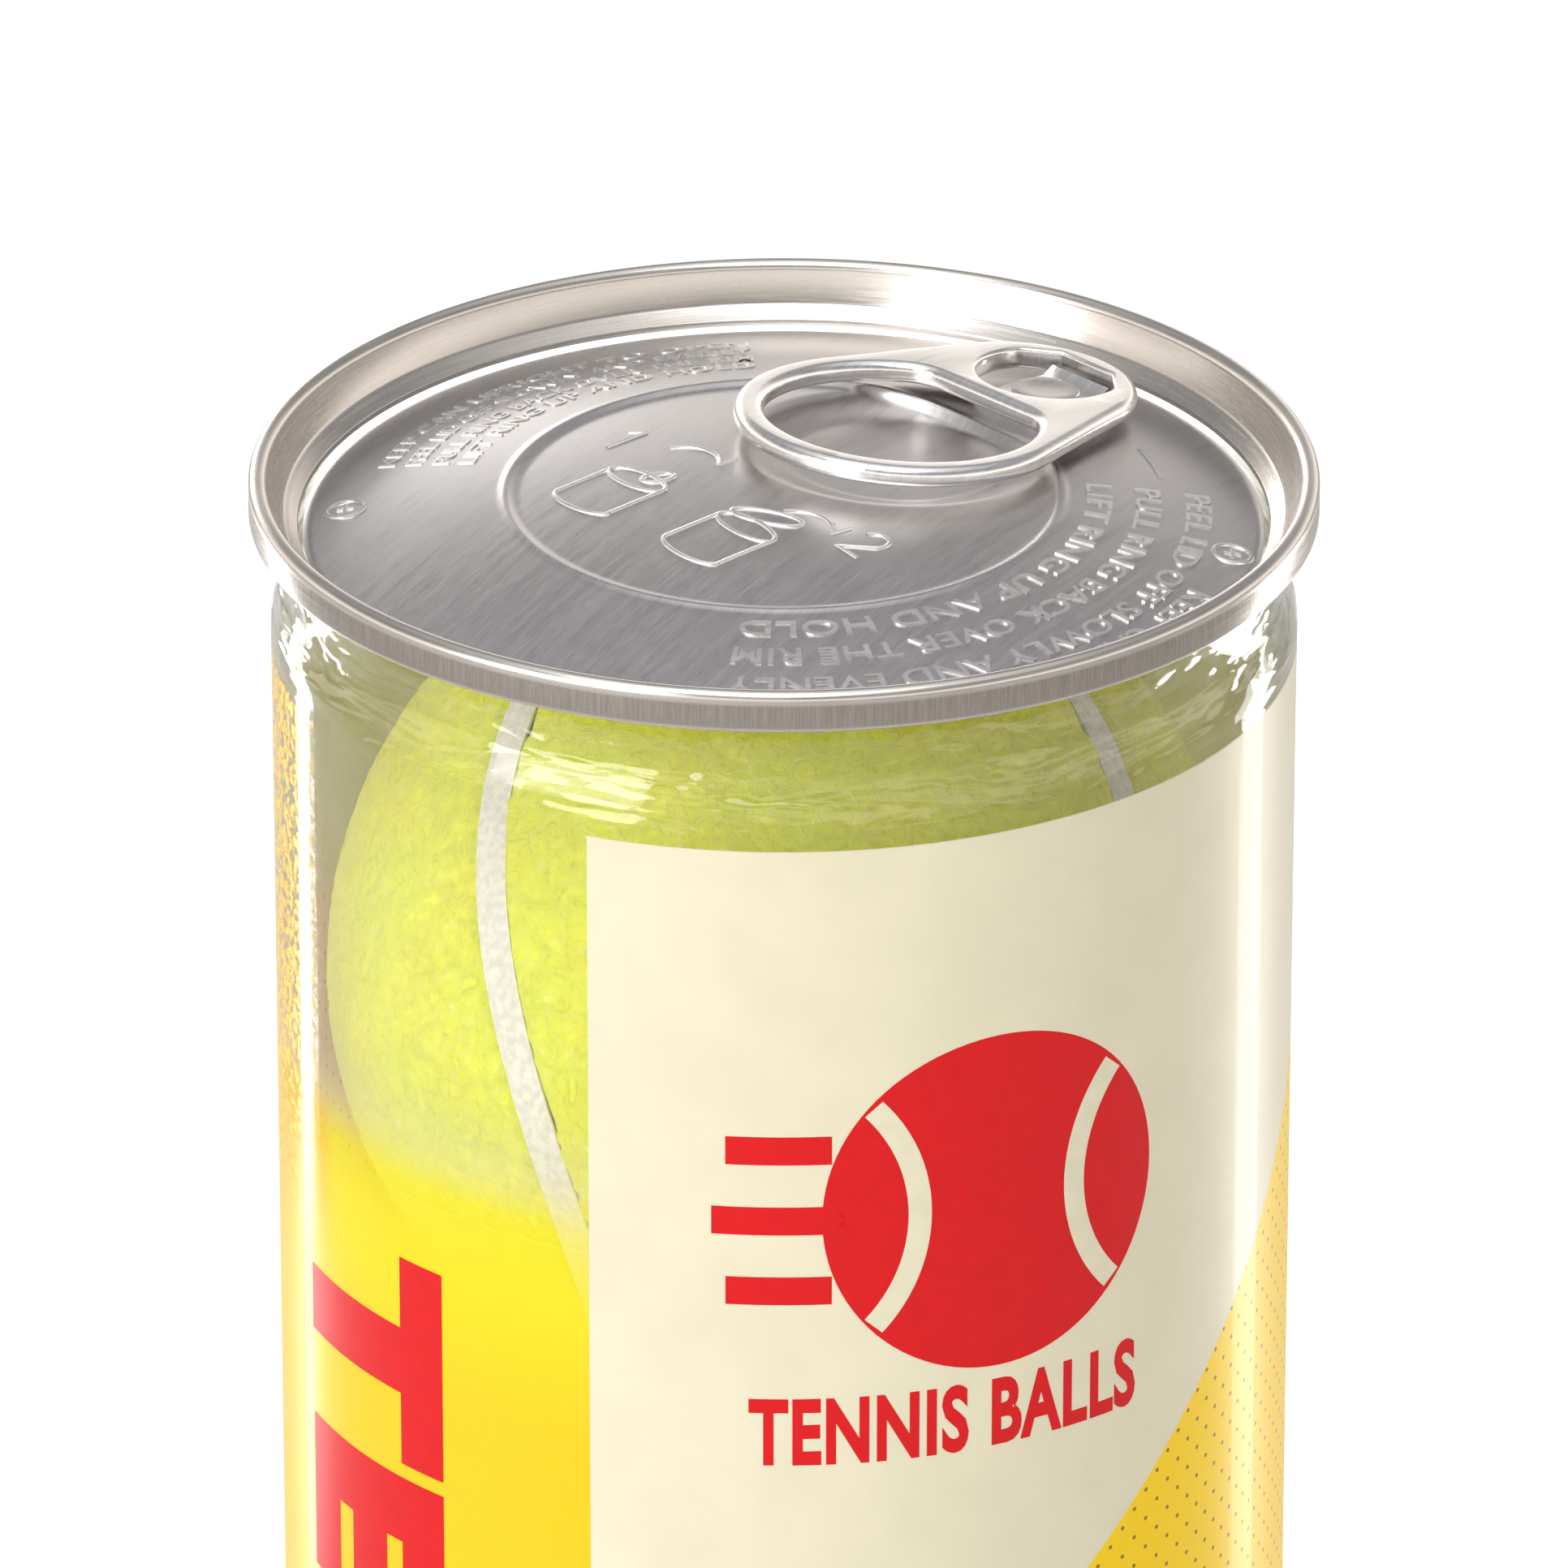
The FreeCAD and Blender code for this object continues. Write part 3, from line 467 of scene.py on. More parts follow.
def ink_material(name, tint):
    """Opaque print with a faint uneven tone."""
    material, tree, shader, place = new_material(name)
    grain = node(tree, "ShaderNodeTexNoise", Vector=place, Scale=700.0, Detail=3.0).outputs[0]
    tree.links.new(blended(tree, between(tree, grain, 0.3, 0.8), tint,
                           tuple(channel * 0.93 for channel in tint)), shader.inputs["Base Color"])
    shader.inputs["Roughness"].default_value = 0.35
    shader.inputs["Specular IOR Level"].default_value = 0.3
    shader.inputs["Coat Weight"].default_value = 0.12
    shader.inputs["Coat Roughness"].default_value = 0.05
    return material


# ---------------------------------------------------------------- mesh helpers

def clear_selection():
    """Leaves edit mode and selects nothing."""
    if bpy.context.object and bpy.context.object.mode != "OBJECT":
        bpy.ops.object.mode_set(mode="OBJECT")
    bpy.ops.object.select_all(action="DESELECT")


def select_only(obj):
    clear_selection()
    obj.select_set(True)
    bpy.context.view_layer.objects.active = obj


def arc(centre, radius, start, end, steps):
    """Points of an arc in the plane of radius and height, angles in degrees."""
    turns = [math.radians(start + (end - start) * step / steps) for step in range(steps + 1)]
    return [(centre[0] + radius * math.cos(turn), centre[1] + radius * math.sin(turn))
            for turn in turns]


def s_curve(start, end, steps):
    """Points of a smooth shoulder between two points of radius and height."""
    points = []
    for step in range(steps + 1):
        share = step / steps
        smooth = share * share * (3 - 2 * share)
        points.append((start[0] + (end[0] - start[0]) * smooth,
                       start[1] + (end[1] - start[1]) * share))
    return points


def turned(name, outline, closed=True, steps=256):
    """A piece turned about the can's axis from an outline of radius and height."""
    clear_selection()
    bpy.ops.mesh.primitive_plane_add(size=MM, location=(0, 0, 0))
    obj = bpy.context.object
    obj.name = obj.data.name = name
    bpy.ops.object.mode_set(mode="EDIT")
    bpy.ops.mesh.select_all(action="SELECT")
    bpy.ops.mesh.merge(type="CENTER")
    bpy.ops.transform.translate(value=(outline[0][0], 0, outline[0][1]))
    corners = outline + outline[:1] if closed else outline
    for first, second in zip(corners, corners[1:]):
        step = (second[0] - first[0], 0, second[1] - first[1])
        bpy.ops.mesh.extrude_region_move(TRANSFORM_OT_translate={"value": step})
    bpy.ops.mesh.select_all(action="SELECT")
    bpy.ops.mesh.remove_doubles(threshold=1e-7)
    bpy.ops.mesh.select_all(action="SELECT")
    bpy.ops.mesh.spin(steps=steps, angle=2 * math.pi, center=(0, 0, 0), axis=(0, 0, 1))
    bpy.ops.mesh.select_all(action="SELECT")
    bpy.ops.mesh.remove_doubles(threshold=1e-6)
    bpy.ops.mesh.normals_make_consistent(inside=False)
    bpy.ops.object.mode_set(mode="OBJECT")
    return obj


def apply_modifier(obj, kind, name, **settings):
    modifier = obj.modifiers.new(name, kind)
    for key, value in settings.items():
        setattr(modifier, key, value)
    select_only(obj)
    bpy.ops.object.modifier_apply(modifier=modifier.name)


def shape_vertices(obj, rule):
    """Moves each vertex to where the rule says."""
    for vertex in obj.data.vertices:
        vertex.co = rule(vertex.co)
    obj.data.update()


def finish_piece(obj, body, material, replaces=(), angle=35.0):
    """Smooths a piece, gives it its material and body, and hides the CAD nodes it stands for."""
    select_only(obj)
    bpy.ops.object.shade_smooth_by_angle(angle=math.radians(angle))
    obj.data.materials.clear()
    obj.data.materials.append(material)
    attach(obj, body)
    if replaces:
        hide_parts(*replaces)
    clear_selection()
    return obj


def copied_node(name, node_name):
    """A smooth, joined copy of a CAD node's mesh."""
    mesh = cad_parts[node_name].data.copy()
    mesh.name = name
    obj = bpy.data.objects.new(name, mesh)
    bpy.context.scene.collection.objects.link(obj)
    select_only(obj)
    bpy.ops.object.mode_set(mode="EDIT")
    bpy.ops.mesh.select_all(action="SELECT")
    bpy.ops.mesh.remove_doubles(threshold=1e-6)
    bpy.ops.object.mode_set(mode="OBJECT")
    bpy.ops.mesh.customdata_custom_splitnormals_clear()
    return obj


def text_mesh(name, words, cap, fit, depth, bold=0.0):
    """Raised lettering in the XY plane, centred, with its cap height and its whole length."""
    clear_selection()
    bpy.ops.object.text_add(location=(0, 0, 0))
    obj = bpy.context.object
    obj.name = name
    obj.data.body = words
    obj.data.size = cap
    obj.data.extrude = depth
    obj.data.offset = bold * cap
    obj.data.resolution_u = 4
    obj.data.space_character = 1.0 + 2.5 * bold
    bpy.ops.object.convert(target="MESH")
    obj = bpy.context.object
    low, high = flat_box(obj)
    middle = (low + high) / 2
    stretch = Vector((fit / (high.x - low.x), cap / (high.y - low.y), 1.0))
    shape_vertices(obj, lambda point: Vector((
        (point.x - middle.x) * stretch.x, (point.y - middle.y) * stretch.y, point.z)))
    select_only(obj)
    bpy.ops.object.mode_set(mode="EDIT")
    bpy.ops.mesh.select_all(action="SELECT")
    bpy.ops.mesh.remove_doubles(threshold=1e-7)
    bpy.ops.object.mode_set(mode="OBJECT")
    return obj


def flat_box(obj):
    points = [vertex.co for vertex in obj.data.vertices]
    low = Vector([min(point[axis] for point in points) for axis in range(3)])
    high = Vector([max(point[axis] for point in points) for axis in range(3)])
    return low, high


def stroke(name, lines, radius, flat):
    """Rounded strokes along flat lines of points in millimetres, flattened by a factor."""
    curve = bpy.data.curves.new(name, "CURVE")
    curve.dimensions = "3D"
    curve.bevel_depth = radius
    curve.bevel_resolution = 2
    curve.use_fill_caps = True
    for line in lines:
        spline = curve.splines.new("POLY")
        spline.points.add(len(line) - 1)
        for point, (x, y) in zip(spline.points, line):
            point.co = (x * MM, y * MM, 0, 1)
    obj = bpy.data.objects.new(name, curve)
    bpy.context.scene.collection.objects.link(obj)
    select_only(obj)
    bpy.ops.object.convert(target="MESH")
    obj = bpy.context.object
    shape_vertices(obj, lambda point: Vector((point.x, point.y, point.z * flat)))
    return obj


def oval(centre, across, high, start=0, end=360, steps=32, lean=0.0):
    """Points of an oval in millimetres, angles in degrees."""
    points = []
    for step in range(steps + 1):
        turn = math.radians(start + (end - start) * step / steps)
        x, y = across * math.cos(turn), high * math.sin(turn)
        tilt = math.radians(lean)
        points.append((centre[0] + x * math.cos(tilt) - y * math.sin(tilt),
                       centre[1] + x * math.sin(tilt) + y * math.cos(tilt)))
    return points


def cut_across(obj, step):
    """Cuts a flat mesh into narrow upright strips."""
    select_only(obj)
    low = min(vertex.co.x for vertex in obj.data.vertices)
    high = max(vertex.co.x for vertex in obj.data.vertices)
    bpy.ops.object.mode_set(mode="EDIT")
    cuts = int((high - low) / step)
    for cut in range(1, cuts + 1):
        bpy.ops.mesh.select_all(action="SELECT")
        bpy.ops.mesh.bisect(plane_co=(low + cut * step, 0, 0), plane_no=(1, 0, 0))
    bpy.ops.object.mode_set(mode="OBJECT")


# ---------------------------------------------------------------- shape of the end

def dome_height(reach):
    """Height of the panel's plain dome at a distance from the axis."""
    made = sizes()
    return TOP - made.dome_drop - made.dome_radius + math.sqrt(made.dome_radius ** 2 - reach ** 2)


def smooth_share(value, low, high):
    """Smooth 0 to 1 as a number goes from low to high."""
    share = min(max((value - low) / (high - low), 0.0), 1.0)
    return share * share * (3 - 2 * share)


def panel_height(x, y):
    """Height of the panel's top, with its step and its finger well."""
    made = sizes()
    reach = math.hypot(x, y)
    height = dome_height(min(reach, PANEL_RADIUS))
    bead = 1 - smooth_share(abs(reach - made.step_radius - 0.5 * MM), 0, 0.55 * MM)
    height += made.step_bead * bead
    height -= made.step_depth * (1 - smooth_share(reach, made.step_radius - 0.5 * MM,
                                                  made.step_radius + 0.5 * MM))
    centre = Vector((math.cos(made.tab_turn), math.sin(made.tab_turn))) * made.well_place
    away = math.hypot(x - centre.x, y - centre.y)
    height -= made.well_depth * (1 - smooth_share(away, made.well_floor, made.well_mouth))
    edge = PANEL_RADIUS - 0.5 * MM
    height -= 0.15 * MM * smooth_share(reach, edge, PANEL_RADIUS)
    return height


def tab_matrix():
    """Frame of the tab: origin under the rivet, x towards the nose, z up from the panel."""
    made = sizes()
    place = Vector((math.cos(made.tab_turn), math.sin(made.tab_turn), 0)) * made.rivet_place
    place.z = dome_height(made.rivet_place)
    return (Matrix.Translation(place) @ Matrix.Rotation(made.tab_turn, 4, "Z")
            @ Matrix.Rotation(made.tab_tilt, 4, "Y"))


# ---------------------------------------------------------------- operators

class CAN_OT_stage(bpy.types.Operator):
    """Floor, studio lights and the camera"""
    bl_idname = "can.stage"
    bl_label = "Stage"

    def execute(self, context):
        scene = context.scene
        scene.view_settings.view_transform = "Standard"
        scene.cycles.transparent_max_bounces = 24
        clear_selection()
        bpy.ops.mesh.primitive_plane_add(size=8.0, location=(0, 0, 0))
        floor = context.object
        floor.name = "studio_floor"
        material, tree, shader, place = new_material("Studio Floor")
        cloud = node(tree, "ShaderNodeTexNoise", Vector=place, Scale=1.5, Detail=2.0).outputs[0]
        tree.links.new(blended(tree, cloud, (0.56, 0.55, 0.54), (0.60, 0.59, 0.58)),
                       shader.inputs["Base Color"])
        seen = node(tree, "ShaderNodeLightPath").outputs["Is Camera Ray"]
        tree.links.new(maths(tree, "MULTIPLY", seen, 0.9), shader.inputs["Emission Strength"])
        shader.inputs["Roughness"].default_value = 0.9
        shader.inputs["Emission Color"].default_value = (1.0, 1.0, 1.0, 1.0)
        floor.data.materials.append(material)

        world = bpy.data.worlds.new("Studio")
        scene.world = world
        world.use_nodes = True
        tree = world.node_tree
        direction = node(tree, "ShaderNodeTexCoord").outputs["Generated"]
        rise = node(tree, "ShaderNodeSeparateXYZ", Vector=direction).outputs[2]
        ramp = node(tree, "ShaderNodeValToRGB", Fac=rise)
        ramp.color_ramp.elements[0].position = 0.17
        ramp.color_ramp.elements[0].color = (1.45, 1.37, 1.28, 1)
        ramp.color_ramp.elements[1].position = 0.46
        ramp.color_ramp.elements[1].color = (0.33, 0.33, 0.34, 1)
        upper = ramp.color_ramp.elements.new(0.74)
        upper.color = (0.36, 0.36, 0.37, 1)
        top = ramp.color_ramp.elements.new(0.95)
        top.color = (0.95, 0.95, 0.96, 1)
        tree.links.new(ramp.outputs[0], tree.nodes["Background"].inputs["Color"])
        tree.nodes["Background"].inputs["Strength"].default_value = 1.0

        centre = Vector((0, 0, TOP * 0.6))
        self.lamp("overhead_box", centre, azimuth=-20, rise=70, distance=1.3, size=(0.9, 0.9),
                  power=7)
        self.lamp("back_left_box", centre, azimuth=-160, rise=12, distance=1.0,
                  size=(0.5, 0.2), power=1.6)
        self.lamp("front_fill", centre, azimuth=-48, rise=24, distance=1.6, size=(1.0, 1.0),
                  power=13)
        low = Vector((0, 0, 0.09))
        self.lamp("low_left_strip", low, azimuth=-130, rise=0, distance=0.22,
                  size=(0.024, 0.15), power=0.10)
        self.lamp("low_right_strip", low, azimuth=122, rise=0, distance=0.22,
                  size=(0.045, 0.15), power=0.14)

        camera = bpy.data.cameras.new("camera")
        camera.sensor_width = 36.0
        camera.lens = 361.2
        camera.clip_start = 0.01
        camera.clip_end = 20.0
        eye = bpy.data.objects.new("camera", camera)
        eye.location = (0, -1.0214, TOP + 0.4588)
        eye.rotation_euler = (math.radians(64.66), 0, 0)
        scene.collection.objects.link(eye)
        scene.camera = eye
        return {"FINISHED"}

    def lamp(self, name, centre, azimuth, rise, distance, size, power):
        """A softbox; azimuth is from the can's front, positive to the right."""
        light = bpy.data.lights.new(name, "AREA")
        light.shape = "RECTANGLE"
        light.size, light.size_y = size
        light.energy = power
        turn, lift = math.radians(azimuth), math.radians(rise)
        away = Vector((math.sin(turn) * math.cos(lift), -math.cos(turn) * math.cos(lift),
                       math.sin(lift)))
        lamp = bpy.data.objects.new(name, light)
        lamp.location = centre + away * distance
        lamp.rotation_euler = away.to_track_quat("Z", "Y").to_euler()
        bpy.context.scene.collection.objects.link(lamp)


class CAN_OT_container(bpy.types.Operator):
    """Clear blown container"""
    bl_idname = "can.container"
    bl_label = "Container"

    def execute(self, context):
        made = sizes()
        neck = WALL_RADIUS - made.neck_step
        wall, heel, foot = made.wall, made.heel, made.foot_radius
        push, rise = made.push_radius, made.push_rise
        outline = [(foot, 0.0)]
        outline += arc((WALL_RADIUS - heel, heel), heel, -90, 0, 10)
        outline += s_curve((WALL_RADIUS, TOP - 11.6 * MM), (neck, TOP - 7.0 * MM), 14)
        outline += [(neck, TOP - 4.7 * MM), (neck + 0.6 * MM, TOP - 3.2 * MM)]
        outline += [(neck, TOP - 3.0 * MM), (neck - wall, TOP - 4.0 * MM)]
        outline += s_curve((neck - wall, TOP - 7.0 * MM), (WALL_RADIUS - wall, TOP - 11.6 * MM), 14)
        inner = heel - wall
        outline += arc((WALL_RADIUS - heel, heel), inner, 0, -90, 10)
        outline += [(foot, 0.7 * MM), (push, rise + 0.7 * MM), (0, rise + 1.3 * MM),
                    (0, rise + 0.6 * MM), (push, rise)]
        body = turned("clear_container", outline)
        material = clear_plastic_material("Clear Container", (0.97, 0.98, 0.97), 0.02, 1.38)
        finish_piece(body, "can", material, ["can_body"])
        gasket = matt_material("Seam Compound", (0.75, 0.73, 0.66), 900.0, 0.02 * MM)
        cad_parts["sealing_compound"].data.materials.clear()
        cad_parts["sealing_compound"].data.materials.append(gasket)
        return {"FINISHED"}


def film_outline(outside, thickness):
    """Closed outline of a film layer that follows wall, shoulder and neck."""
    neck = WALL_RADIUS - sizes().neck_step + 0.22 * MM
    foot = TOP - 11.6 * MM
    rows = 30
    rise = foot - FILM_FOOT
    wall = [(outside, FILM_FOOT + rise * row / rows) for row in range(rows)]
    shoulder = s_curve((outside, foot), (neck, TOP - 7.0 * MM), 32)
    lip = [(neck, TOP - 7.0 * MM + (FILM_TOP - TOP + 7.0 * MM) * row / 16) for row in range(1, 17)]
    outer = wall + shoulder + lip
    return outer + [(reach - thickness, height) for reach, height in reversed(outer)]


class CAN_OT_film(bpy.types.Operator):
    """Printed shrink film, its emblem and its lettering"""
    bl_idname = "can.film"
    bl_label = "Printed film"

    def execute(self, context):
        skin = turned("film_skin", film_outline(FILM_RADIUS, FILM_SHEET))
        shape_vertices(skin, self.crinkled)
        finish_piece(skin, "can", film_material("Printed Film"),
                     ["label_sleeve"])
        red = ink_material("Red Ink", colours().red)
        self.emblem(red)
        word = text_mesh("word_print", "TENNIS BALLS", 5.4 * MM, 30.0 * MM, 0.005 * MM, 0.035)
        cut_across(word, MM)
        self.wrap(word, 19.5, TOP - 58.2 * MM, red)
        tall = text_mesh("side_print", "TENNIS", 17.0 * MM, 92.0 * MM, 0.005 * MM, 0.06)
        shape_vertices(tall, lambda point: Vector((point.y, -point.x, point.z)))
        cut_across(tall, MM)
        self.wrap(tall, -54.5, TOP - 96.5 * MM, red)
        return {"FINISHED"}

    def crinkled(self, point):
        """Folds and dents of the shrunk film on neck and shoulder."""
        share = smooth_share(point.z, TOP - 13.0 * MM, TOP - 8.5 * MM)
        if share <= 0:
            return point
        turn = math.atan2(point.y, point.x)
        spot = Vector((math.cos(turn) * 9, math.sin(turn) * 9, (point.z - TOP) / MM * 0.35))
        dent = noise.fractal(spot, 0.8, 2.2, 4) * 0.28 * MM * share
        ragged = noise.noise(Vector((math.cos(turn) * 14, math.sin(turn) * 14, 3.0)))
        edge = smooth_share(point.z, TOP - 7.0 * MM, FILM_TOP)
        reach = math.hypot(point.x, point.y) + abs(dent)
        lift = ragged * 0.55 * MM * edge
        return Vector((math.cos(turn) * reach, math.sin(turn) * reach, point.z + lift))

    def wrap(self, obj, degrees, height, material, proud=0.015 * MM):
        """Lays a flat mesh on the film, centred at an angle from the front and a height."""
        reach = FILM_RADIUS + proud

        def laid(point):
            turn = math.radians(degrees) + point.x / reach
            radius = reach + point.z
            return Vector((math.sin(turn) * radius, -math.cos(turn) * radius, height + point.y))

        shape_vertices(obj, laid)
        finish_piece(obj, "can", material)

    def emblem(self, material):
        """A ball with two curved seams, and bars of speed beside it."""
        radius = 13.0
        clear_selection()
        bpy.ops.mesh.primitive_cylinder_add(vertices=96, radius=radius * MM, depth=0.01 * MM)
        ball = bpy.context.object
        ball.name = "emblem_print"
        cut_across(ball, MM)
        middle = TOP - 41.5 * MM
        self.wrap(ball, 24.5, middle, material)
        cream = ink_material("Cream Ink", colours().cream)
        seams = [oval((side * 18.5, 0.0), 12.5, 12.5, turn - 43, turn + 43, 24)
                 for side, turn in ((-1, 0), (1, 180))]
        seam = stroke("emblem_seams", seams, 0.85 * MM, 0.01)
        cut_across(seam, MM)
        self.wrap(seam, 24.5, middle, cream, 0.03 * MM)
        for index, (reach, rise) in enumerate(((7.5, 5.5), (9.5, 0.0), (7.5, -5.5))):
            line = [(-reach / 2, 0.0), (reach / 2, 0.0)]
            bar = stroke(f"emblem_bar_{index + 1}", [line], 1.1 * MM, 0.005)
            cut_across(bar, MM)
            self.wrap(bar, -0.6, middle + rise * MM, material)


class CAN_OT_end_ring(bpy.types.Operator):
    """Ring of the end that stays: seam, chuck wall, ledge and folded lip"""
    bl_idname = "can.end_ring"
    bl_label = "End ring"

    def execute(self, context):
        made = sizes()
        crest = SEAM_RADIUS - made.crown
        chuck = SEAM_RADIUS - made.chuck_inset
        inside = SEAM_RADIUS - 2 * made.crown
        fold = 0.3 * MM
        low = TOP - made.seam_height
        outline = arc((crest, TOP - made.crown), made.crown, 180, 0, 20)
        outline += arc((SEAM_RADIUS - fold, low + fold), fold, 0, -90, 6)
        outline += [(SEAM_RADIUS - 1.1 * MM, low), (SEAM_RADIUS - 1.1 * MM, low + 1.0 * MM)]
        outline += [(inside + 0.25 * MM, TOP - made.crown - 0.2 * MM)]
        outline += [(chuck + 0.25 * MM, TOP - 3.05 * MM), (LIP_RADIUS + 0.3 * MM, TOP - 3.9 * MM)]
        outline += [(LIP_RADIUS + 0.3 * MM, TOP - 4.1 * MM), (LIP_RADIUS, TOP - 4.1 * MM)]
        outline += arc((LIP_RADIUS + 0.12 * MM, TOP - 3.74 * MM), 0.12 * MM, 180, 110, 4)
        outline += [(chuck - 0.25 * MM, TOP - 3.02 * MM)]
        outline += arc((chuck - 0.55 * MM, TOP - 2.48 * MM), 0.62 * MM, -62, -22, 6)
        ring = turned("end_ring_sheet", outline, steps=320)
        finish_piece(ring, "can", seam_metal_material("Rolled Seam"),
                     ["end_ring"], angle=50)
        return {"FINISHED"}


class CAN_OT_end_panel(bpy.types.Operator):
    """Peel-off panel: domed sheet with step and finger well, rivet, raised lettering"""
    bl_idname = "can.end_panel"
    bl_label = "Peel-off panel"

    def execute(self, context):
        metal = sheet_metal_material("Brushed End", colours().sheet_metal,
                                     turn=math.radians(-58), fineness=1.5, rough=(0.27, 0.38),
                                     bump=0.09)
        # The raised marks use a lighter copy of the sheet's colour: painted highlight.
        marks = sheet_metal_material("Raised Marks", colours().raised_metal_highlight,
                                     fineness=1.5, rough=(0.30, 0.42), bump=0.06)
        self.sheet(metal)
        self.rivet(metal)
        self.lettering(marks)
        self.pictures(marks)
        return {"FINISHED"}

    def sheet(self, metal):
        rows = 150
        reaches = [PANEL_RADIUS * row / rows for row in range(rows + 1)]
        thickness = 0.25 * MM
        outline = [(reach, 0.0) for reach in reaches]
        outline += [(reach, -thickness) for reach in reversed(reaches[::5])]
        panel = turned("panel_sheet", outline, closed=False, steps=300)
        shape_vertices(panel, lambda point: Vector(
            (point.x, point.y, panel_height(point.x, point.y) + point.z)))
        finish_piece(panel, "panel", metal, ["end_panel"], angle=60)

    def rivet(self, metal):
        head = 0.65 * MM
        outline = [(0, -0.1 * MM), (3.0 * MM, -0.1 * MM), (2.5 * MM, 0.3 * MM), (1.6 * MM, 0.3 * MM),
                   (1.6 * MM, head)]
        outline += arc((2.3 * MM, head + 0.2 * MM), 0.2 * MM, -90, 90, 8)
        outline += [(1.7 * MM, head + 0.42 * MM), (1.3 * MM, head + 0.34 * MM), (0, head + 0.34 * MM)]
        rivet = turned("rivet_head", outline, closed=False, steps=96)
        matrix = tab_matrix()
        shape_vertices(rivet, lambda point: matrix @ point)
        finish_piece(rivet, "panel", metal)

    def lay(self, obj, rule, metal):
        """Lays a flat raised mark on the panel, each point's place in plan from the rule."""
        def laid(point):
            x, y = rule(point)
            return Vector((x, y, panel_height(x, y) + point.z))

        shape_vertices(obj, laid)
        finish_piece(obj, "panel", metal)

    def lettering(self, metal):
        """Rows of words that run clockwise with their tops outwards."""
        words = ("LIFT RING UP AND HOLD", "PULL RING BACK OVER THE RIM",
                 "PEEL LID OFF SLOWLY AND EVENLY", "KEEP CAN UPRIGHT TO OPEN")
        right = ((22.5, 5, -98), (26.0, 5, -98), (29.6, 5, -98), (32.2, -24, -98))
        left = ((23.6, 165, 95), (25.5, 165, 95), (27.5, 165, 95), (29.5, 165, 95))
        rows = [(line, *row, 1.9 * MM) for line, row in zip(words, right)]
        rows += [(line, *row, 1.3 * MM) for line, row in zip(words, left)]
        for index, (line, reach, start, end, cap) in enumerate(rows):
            relief = 0.07 * cap
            fit = math.radians(start - end) * reach * MM
            text = text_mesh(f"raised_text_{index + 1}", line, cap, fit, relief, 0.01)
            middle = math.radians((start + end) / 2)

            def bent(point, reach=reach * MM, middle=middle):
                turn = middle - point.x / reach
                return math.cos(turn) * (reach + point.y), math.sin(turn) * (reach + point.y)

            self.lay(text, bent, metal)

    def pictures(self, metal):
        """Small line drawings of the can being opened, arrows, numbers and round marks."""
        can = [oval((0, 2.4), 2.9, 1.1), [(-2.9, 2.4), (-2.9, -2.6)], [(2.9, 2.4), (2.9, -2.6)],
               oval((0, -2.6), 2.9, 1.1, 180, 360, 16)]
        ring_up = can + [oval((0.9, 3.6), 0.7, 1.2, lean=-25)]
        lid_up = can + [oval((-0.2, 4.5), 2.8, 0.9, lean=24)]
        arrow = [oval((0, 0), 3.0, 3.0, 150, 40, 12), [(1.1, 2.9), (2.3, 1.93), (2.4, 3.5)]]
        plus = [oval((0, 0), 1.35, 1.35), [(-0.6, 0), (0.6, 0)], [(0, -0.6), (0, 0.6)]]
        one = [[(-0.7, 1.1), (0.3, 1.8), (0.3, -1.8)]]
        two = [oval((0, 0.8), 1.1, 1.0, 170, -40, 12) + [(-1.1, -1.8), (1.2, -1.8)]]
        ridge = [oval((0, 0), 27.4, 27.4, 21.4, 10.5, 10)]
        drawings = (("picture_ring", ring_up, -12.3, -0.5, -50), ("picture_lid", lid_up, -4.5, -9.0, -50),
                    ("arrow_first", arrow, -7.6, 3.6, -50), ("arrow_second", arrow, 0.5, -8.0, -50),
                    ("number_one", one, -11.5, 8.7, -50), ("number_two", two, 5.8, -10.0, -50),
                    ("mark_right", plus, 31.8, -6.2, 0), ("mark_left", plus, -31.3, 1.0, 0),
                    ("ridge_right", ridge, 0.0, 0.0, 0))
        for name, lines, x, y, degrees in drawings:
            drawn = stroke(name, lines, 0.20 * MM, 0.8)
            spin = Matrix.Rotation(math.radians(degrees), 4, "Z")
            shift = Vector((x, y, 0)) * MM

            def placed(point, spin=spin, shift=shift):
                spot = spin @ point + shift
                return spot.x, spot.y

            self.lay(drawn, placed, metal)


class CAN_OT_ring_tab(bpy.types.Operator):
    """Ring tab and the tongue that the rivet holds"""
    bl_idname = "can.ring_tab"
    bl_label = "Ring tab"

    def execute(self, context):
        metal = sheet_metal_material("Tab Metal", colours().tab_metal,
                                     turn=math.radians(-43.5), fineness=1.2, rough=(0.17, 0.26),
                                     bump=0.04)
        tab = copied_node("ring_tab", "pull_tab")
        finish_piece(tab, "tab", metal, ["pull_tab"])
        tongue = copied_node("tab_tongue_plate", "tab_tongue")
        finish_piece(tongue, "panel", metal, ["tab_tongue"])
        return {"FINISHED"}


def seam_point(turn):
    """Point of a ball's seam on the unit sphere."""
    wide, narrow = 0.75, 0.25
    return Vector((wide * math.cos(turn) + narrow * math.cos(3 * turn),
                   wide * math.sin(turn) - narrow * math.sin(3 * turn),
                   2 * math.sqrt(wide * narrow) * math.sin(2 * turn)))


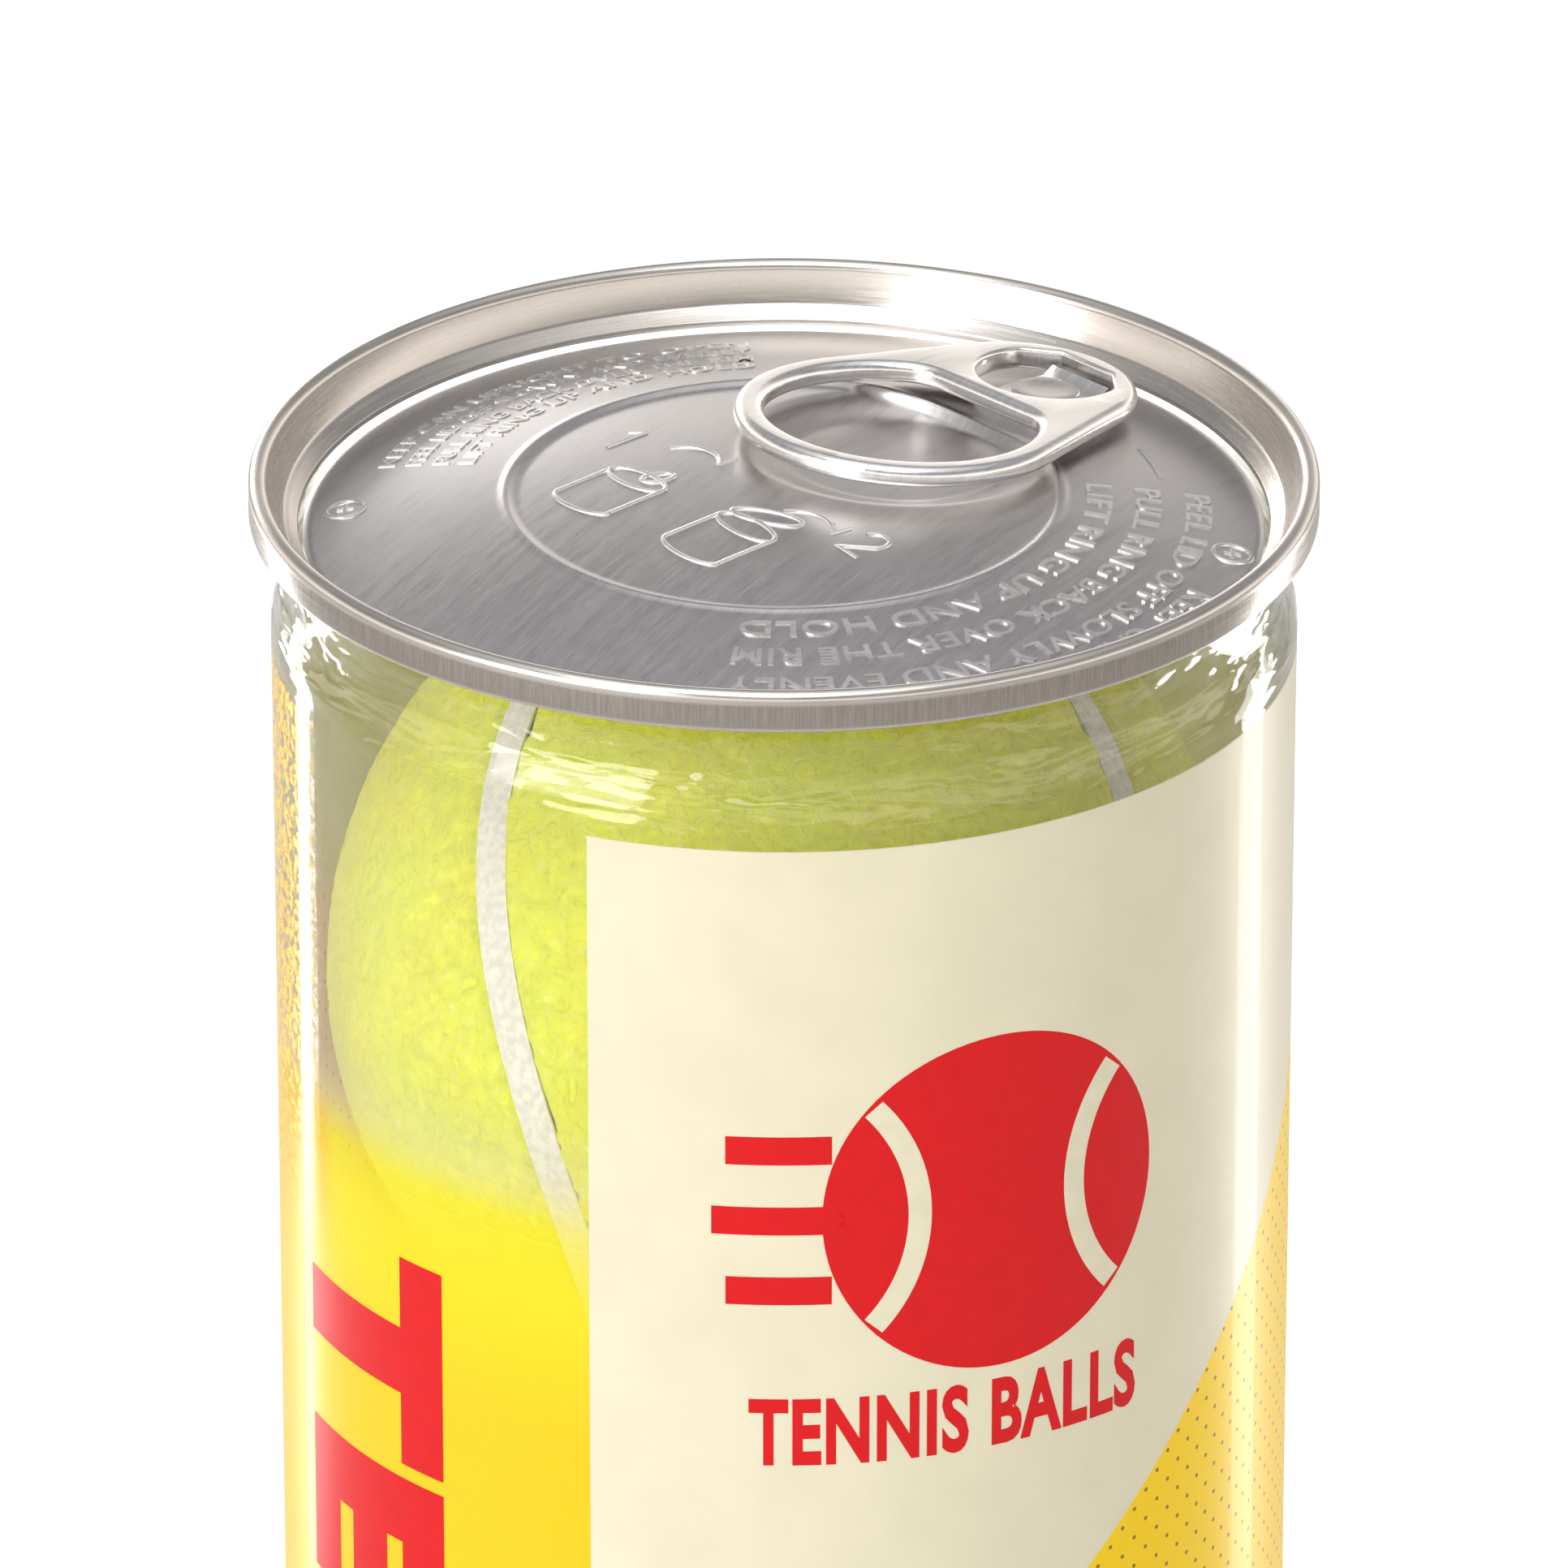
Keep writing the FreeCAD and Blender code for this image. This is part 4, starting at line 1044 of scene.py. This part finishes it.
class CAN_OT_balls(bpy.types.Operator):
    """Felt covers and seams of the balls, and the finish of their cores"""
    bl_idname = "can.balls"
    bl_label = "Balls"

    def execute(self, context):
        felt = felt_material("Ball Felt")
        rubber = matt_material("Seam Rubber", colours().ball_seam, 1600.0, 0.05 * MM, rough=0.8)
        core = matt_material("Core Rubber", colours().rubber, 700.0, 0.05 * MM)
        for ball in BALLS:
            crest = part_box(f"ball_{ball}_core_upper")[1].z
            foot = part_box(f"ball_{ball}_core_lower")[0].z
            centre = Vector((0, 0, (crest + foot) / 2))
            yaw, pitch, roll = (math.radians(turn) for turn in BALL_TURNS[ball])
            turn = (Matrix.Rotation(yaw, 4, "Z") @ Matrix.Rotation(pitch, 4, "Y")
                    @ Matrix.Rotation(roll, 4, "X"))
            place = Matrix.Translation(centre) @ turn
            self.felt_cover(ball, place, felt)
            self.seam(ball, place, rubber)
            for half in ("upper", "lower"):
                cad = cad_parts[f"ball_{ball}_core_{half}"]
                cad.data.materials.clear()
                cad.data.materials.append(core)
        return {"FINISHED"}

    def felt_cover(self, ball, place, material):
        made = sizes()
        clear_selection()
        bpy.ops.mesh.primitive_uv_sphere_add(segments=256, ring_count=160, radius=made.ball_radius)
        cover = bpy.context.object
        cover.name = f"ball_{ball}_felt"
        line = [seam_point(2 * math.pi * step / 360) for step in range(360)]
        tree = KDTree(len(line))
        for index, point in enumerate(line):
            tree.insert(point, index)
        tree.balance()

        def woolly(point):
            unit = point.normalized()
            away = tree.find(unit)[2] * made.ball_radius
            fuzz = noise.fractal(unit * 80, 0.8, 2.1, 4) * 0.15 * MM
            wobble = noise.fractal(unit * 26, 0.7, 2.2, 3) * 0.42 * MM
            sink = 1 - smooth_share(away + wobble, made.seam_half - 0.1 * MM,
                                    made.seam_half + 0.7 * MM)
            return place @ (unit * (made.ball_radius - 0.12 * MM + fuzz - sink * 0.9 * MM))

        shape_vertices(cover, woolly)
        finish_piece(cover, f"ball_{ball}", material,
                     [f"ball_{ball}_felt_a", f"ball_{ball}_felt_b"], angle=80)

    def seam(self, ball, place, material):
        made = sizes()
        steps, rows = 240, 8
        clear_selection()
        bpy.ops.mesh.primitive_grid_add(x_subdivisions=steps, y_subdivisions=rows, size=1.0)
        strip = bpy.context.object
        strip.name = f"ball_{ball}_seam_strip"
        half = made.seam_half + 0.35 * MM
        radius = made.ball_radius - made.seam_sink

        def laid(point):
            turn = (point.x + 0.5) * 2 * math.pi
            spot = seam_point(turn)
            along = (seam_point(turn + 0.001) - spot).normalized()
            across = spot.cross(along)
            shift = point.y * 2 * half / radius
            crown = 1 - (point.y * 2) ** 2
            unit = spot * math.cos(shift) + across * math.sin(shift)
            return place @ (unit * (radius - 0.12 * MM * (1 - crown)))

        shape_vertices(strip, laid)
        select_only(strip)
        bpy.ops.object.mode_set(mode="EDIT")
        bpy.ops.mesh.select_all(action="SELECT")
        bpy.ops.mesh.remove_doubles(threshold=1e-6)
        bpy.ops.object.mode_set(mode="OBJECT")
        apply_modifier(strip, "SOLIDIFY", "thickness", thickness=0.3 * MM, offset=1.0)
        finish_piece(strip, f"ball_{ball}", material, [f"ball_{ball}_seam"])


class VIEW3D_PT_ball_can(bpy.types.Panel):
    """Lists the can's pieces"""
    bl_label = "Tennis Ball Can"
    bl_space_type = "VIEW_3D"
    bl_region_type = "UI"
    bl_category = "Ball Can"

    def draw(self, context):
        for operator in OPERATORS:
            self.layout.operator(operator.bl_idname)


OPERATORS = (CAN_OT_stage, CAN_OT_container, CAN_OT_film, CAN_OT_end_ring, CAN_OT_end_panel,
             CAN_OT_ring_tab, CAN_OT_balls)
CLASSES = (CanSizes, CanColours, *OPERATORS, VIEW3D_PT_ball_can)


def register():
    for made in CLASSES:
        bpy.utils.register_class(made)
    bpy.types.Scene.can_sizes = PointerProperty(type=CanSizes)
    bpy.types.Scene.can_colours = PointerProperty(type=CanColours)


def unregister():
    del bpy.types.Scene.can_colours
    del bpy.types.Scene.can_sizes
    for made in reversed(CLASSES):
        bpy.utils.unregister_class(made)


def main():
    register()
    for operator in OPERATORS:
        group, name = operator.bl_idname.split(".")
        getattr(getattr(bpy.ops, group), name)()


if __name__ == "__main__":
    main()
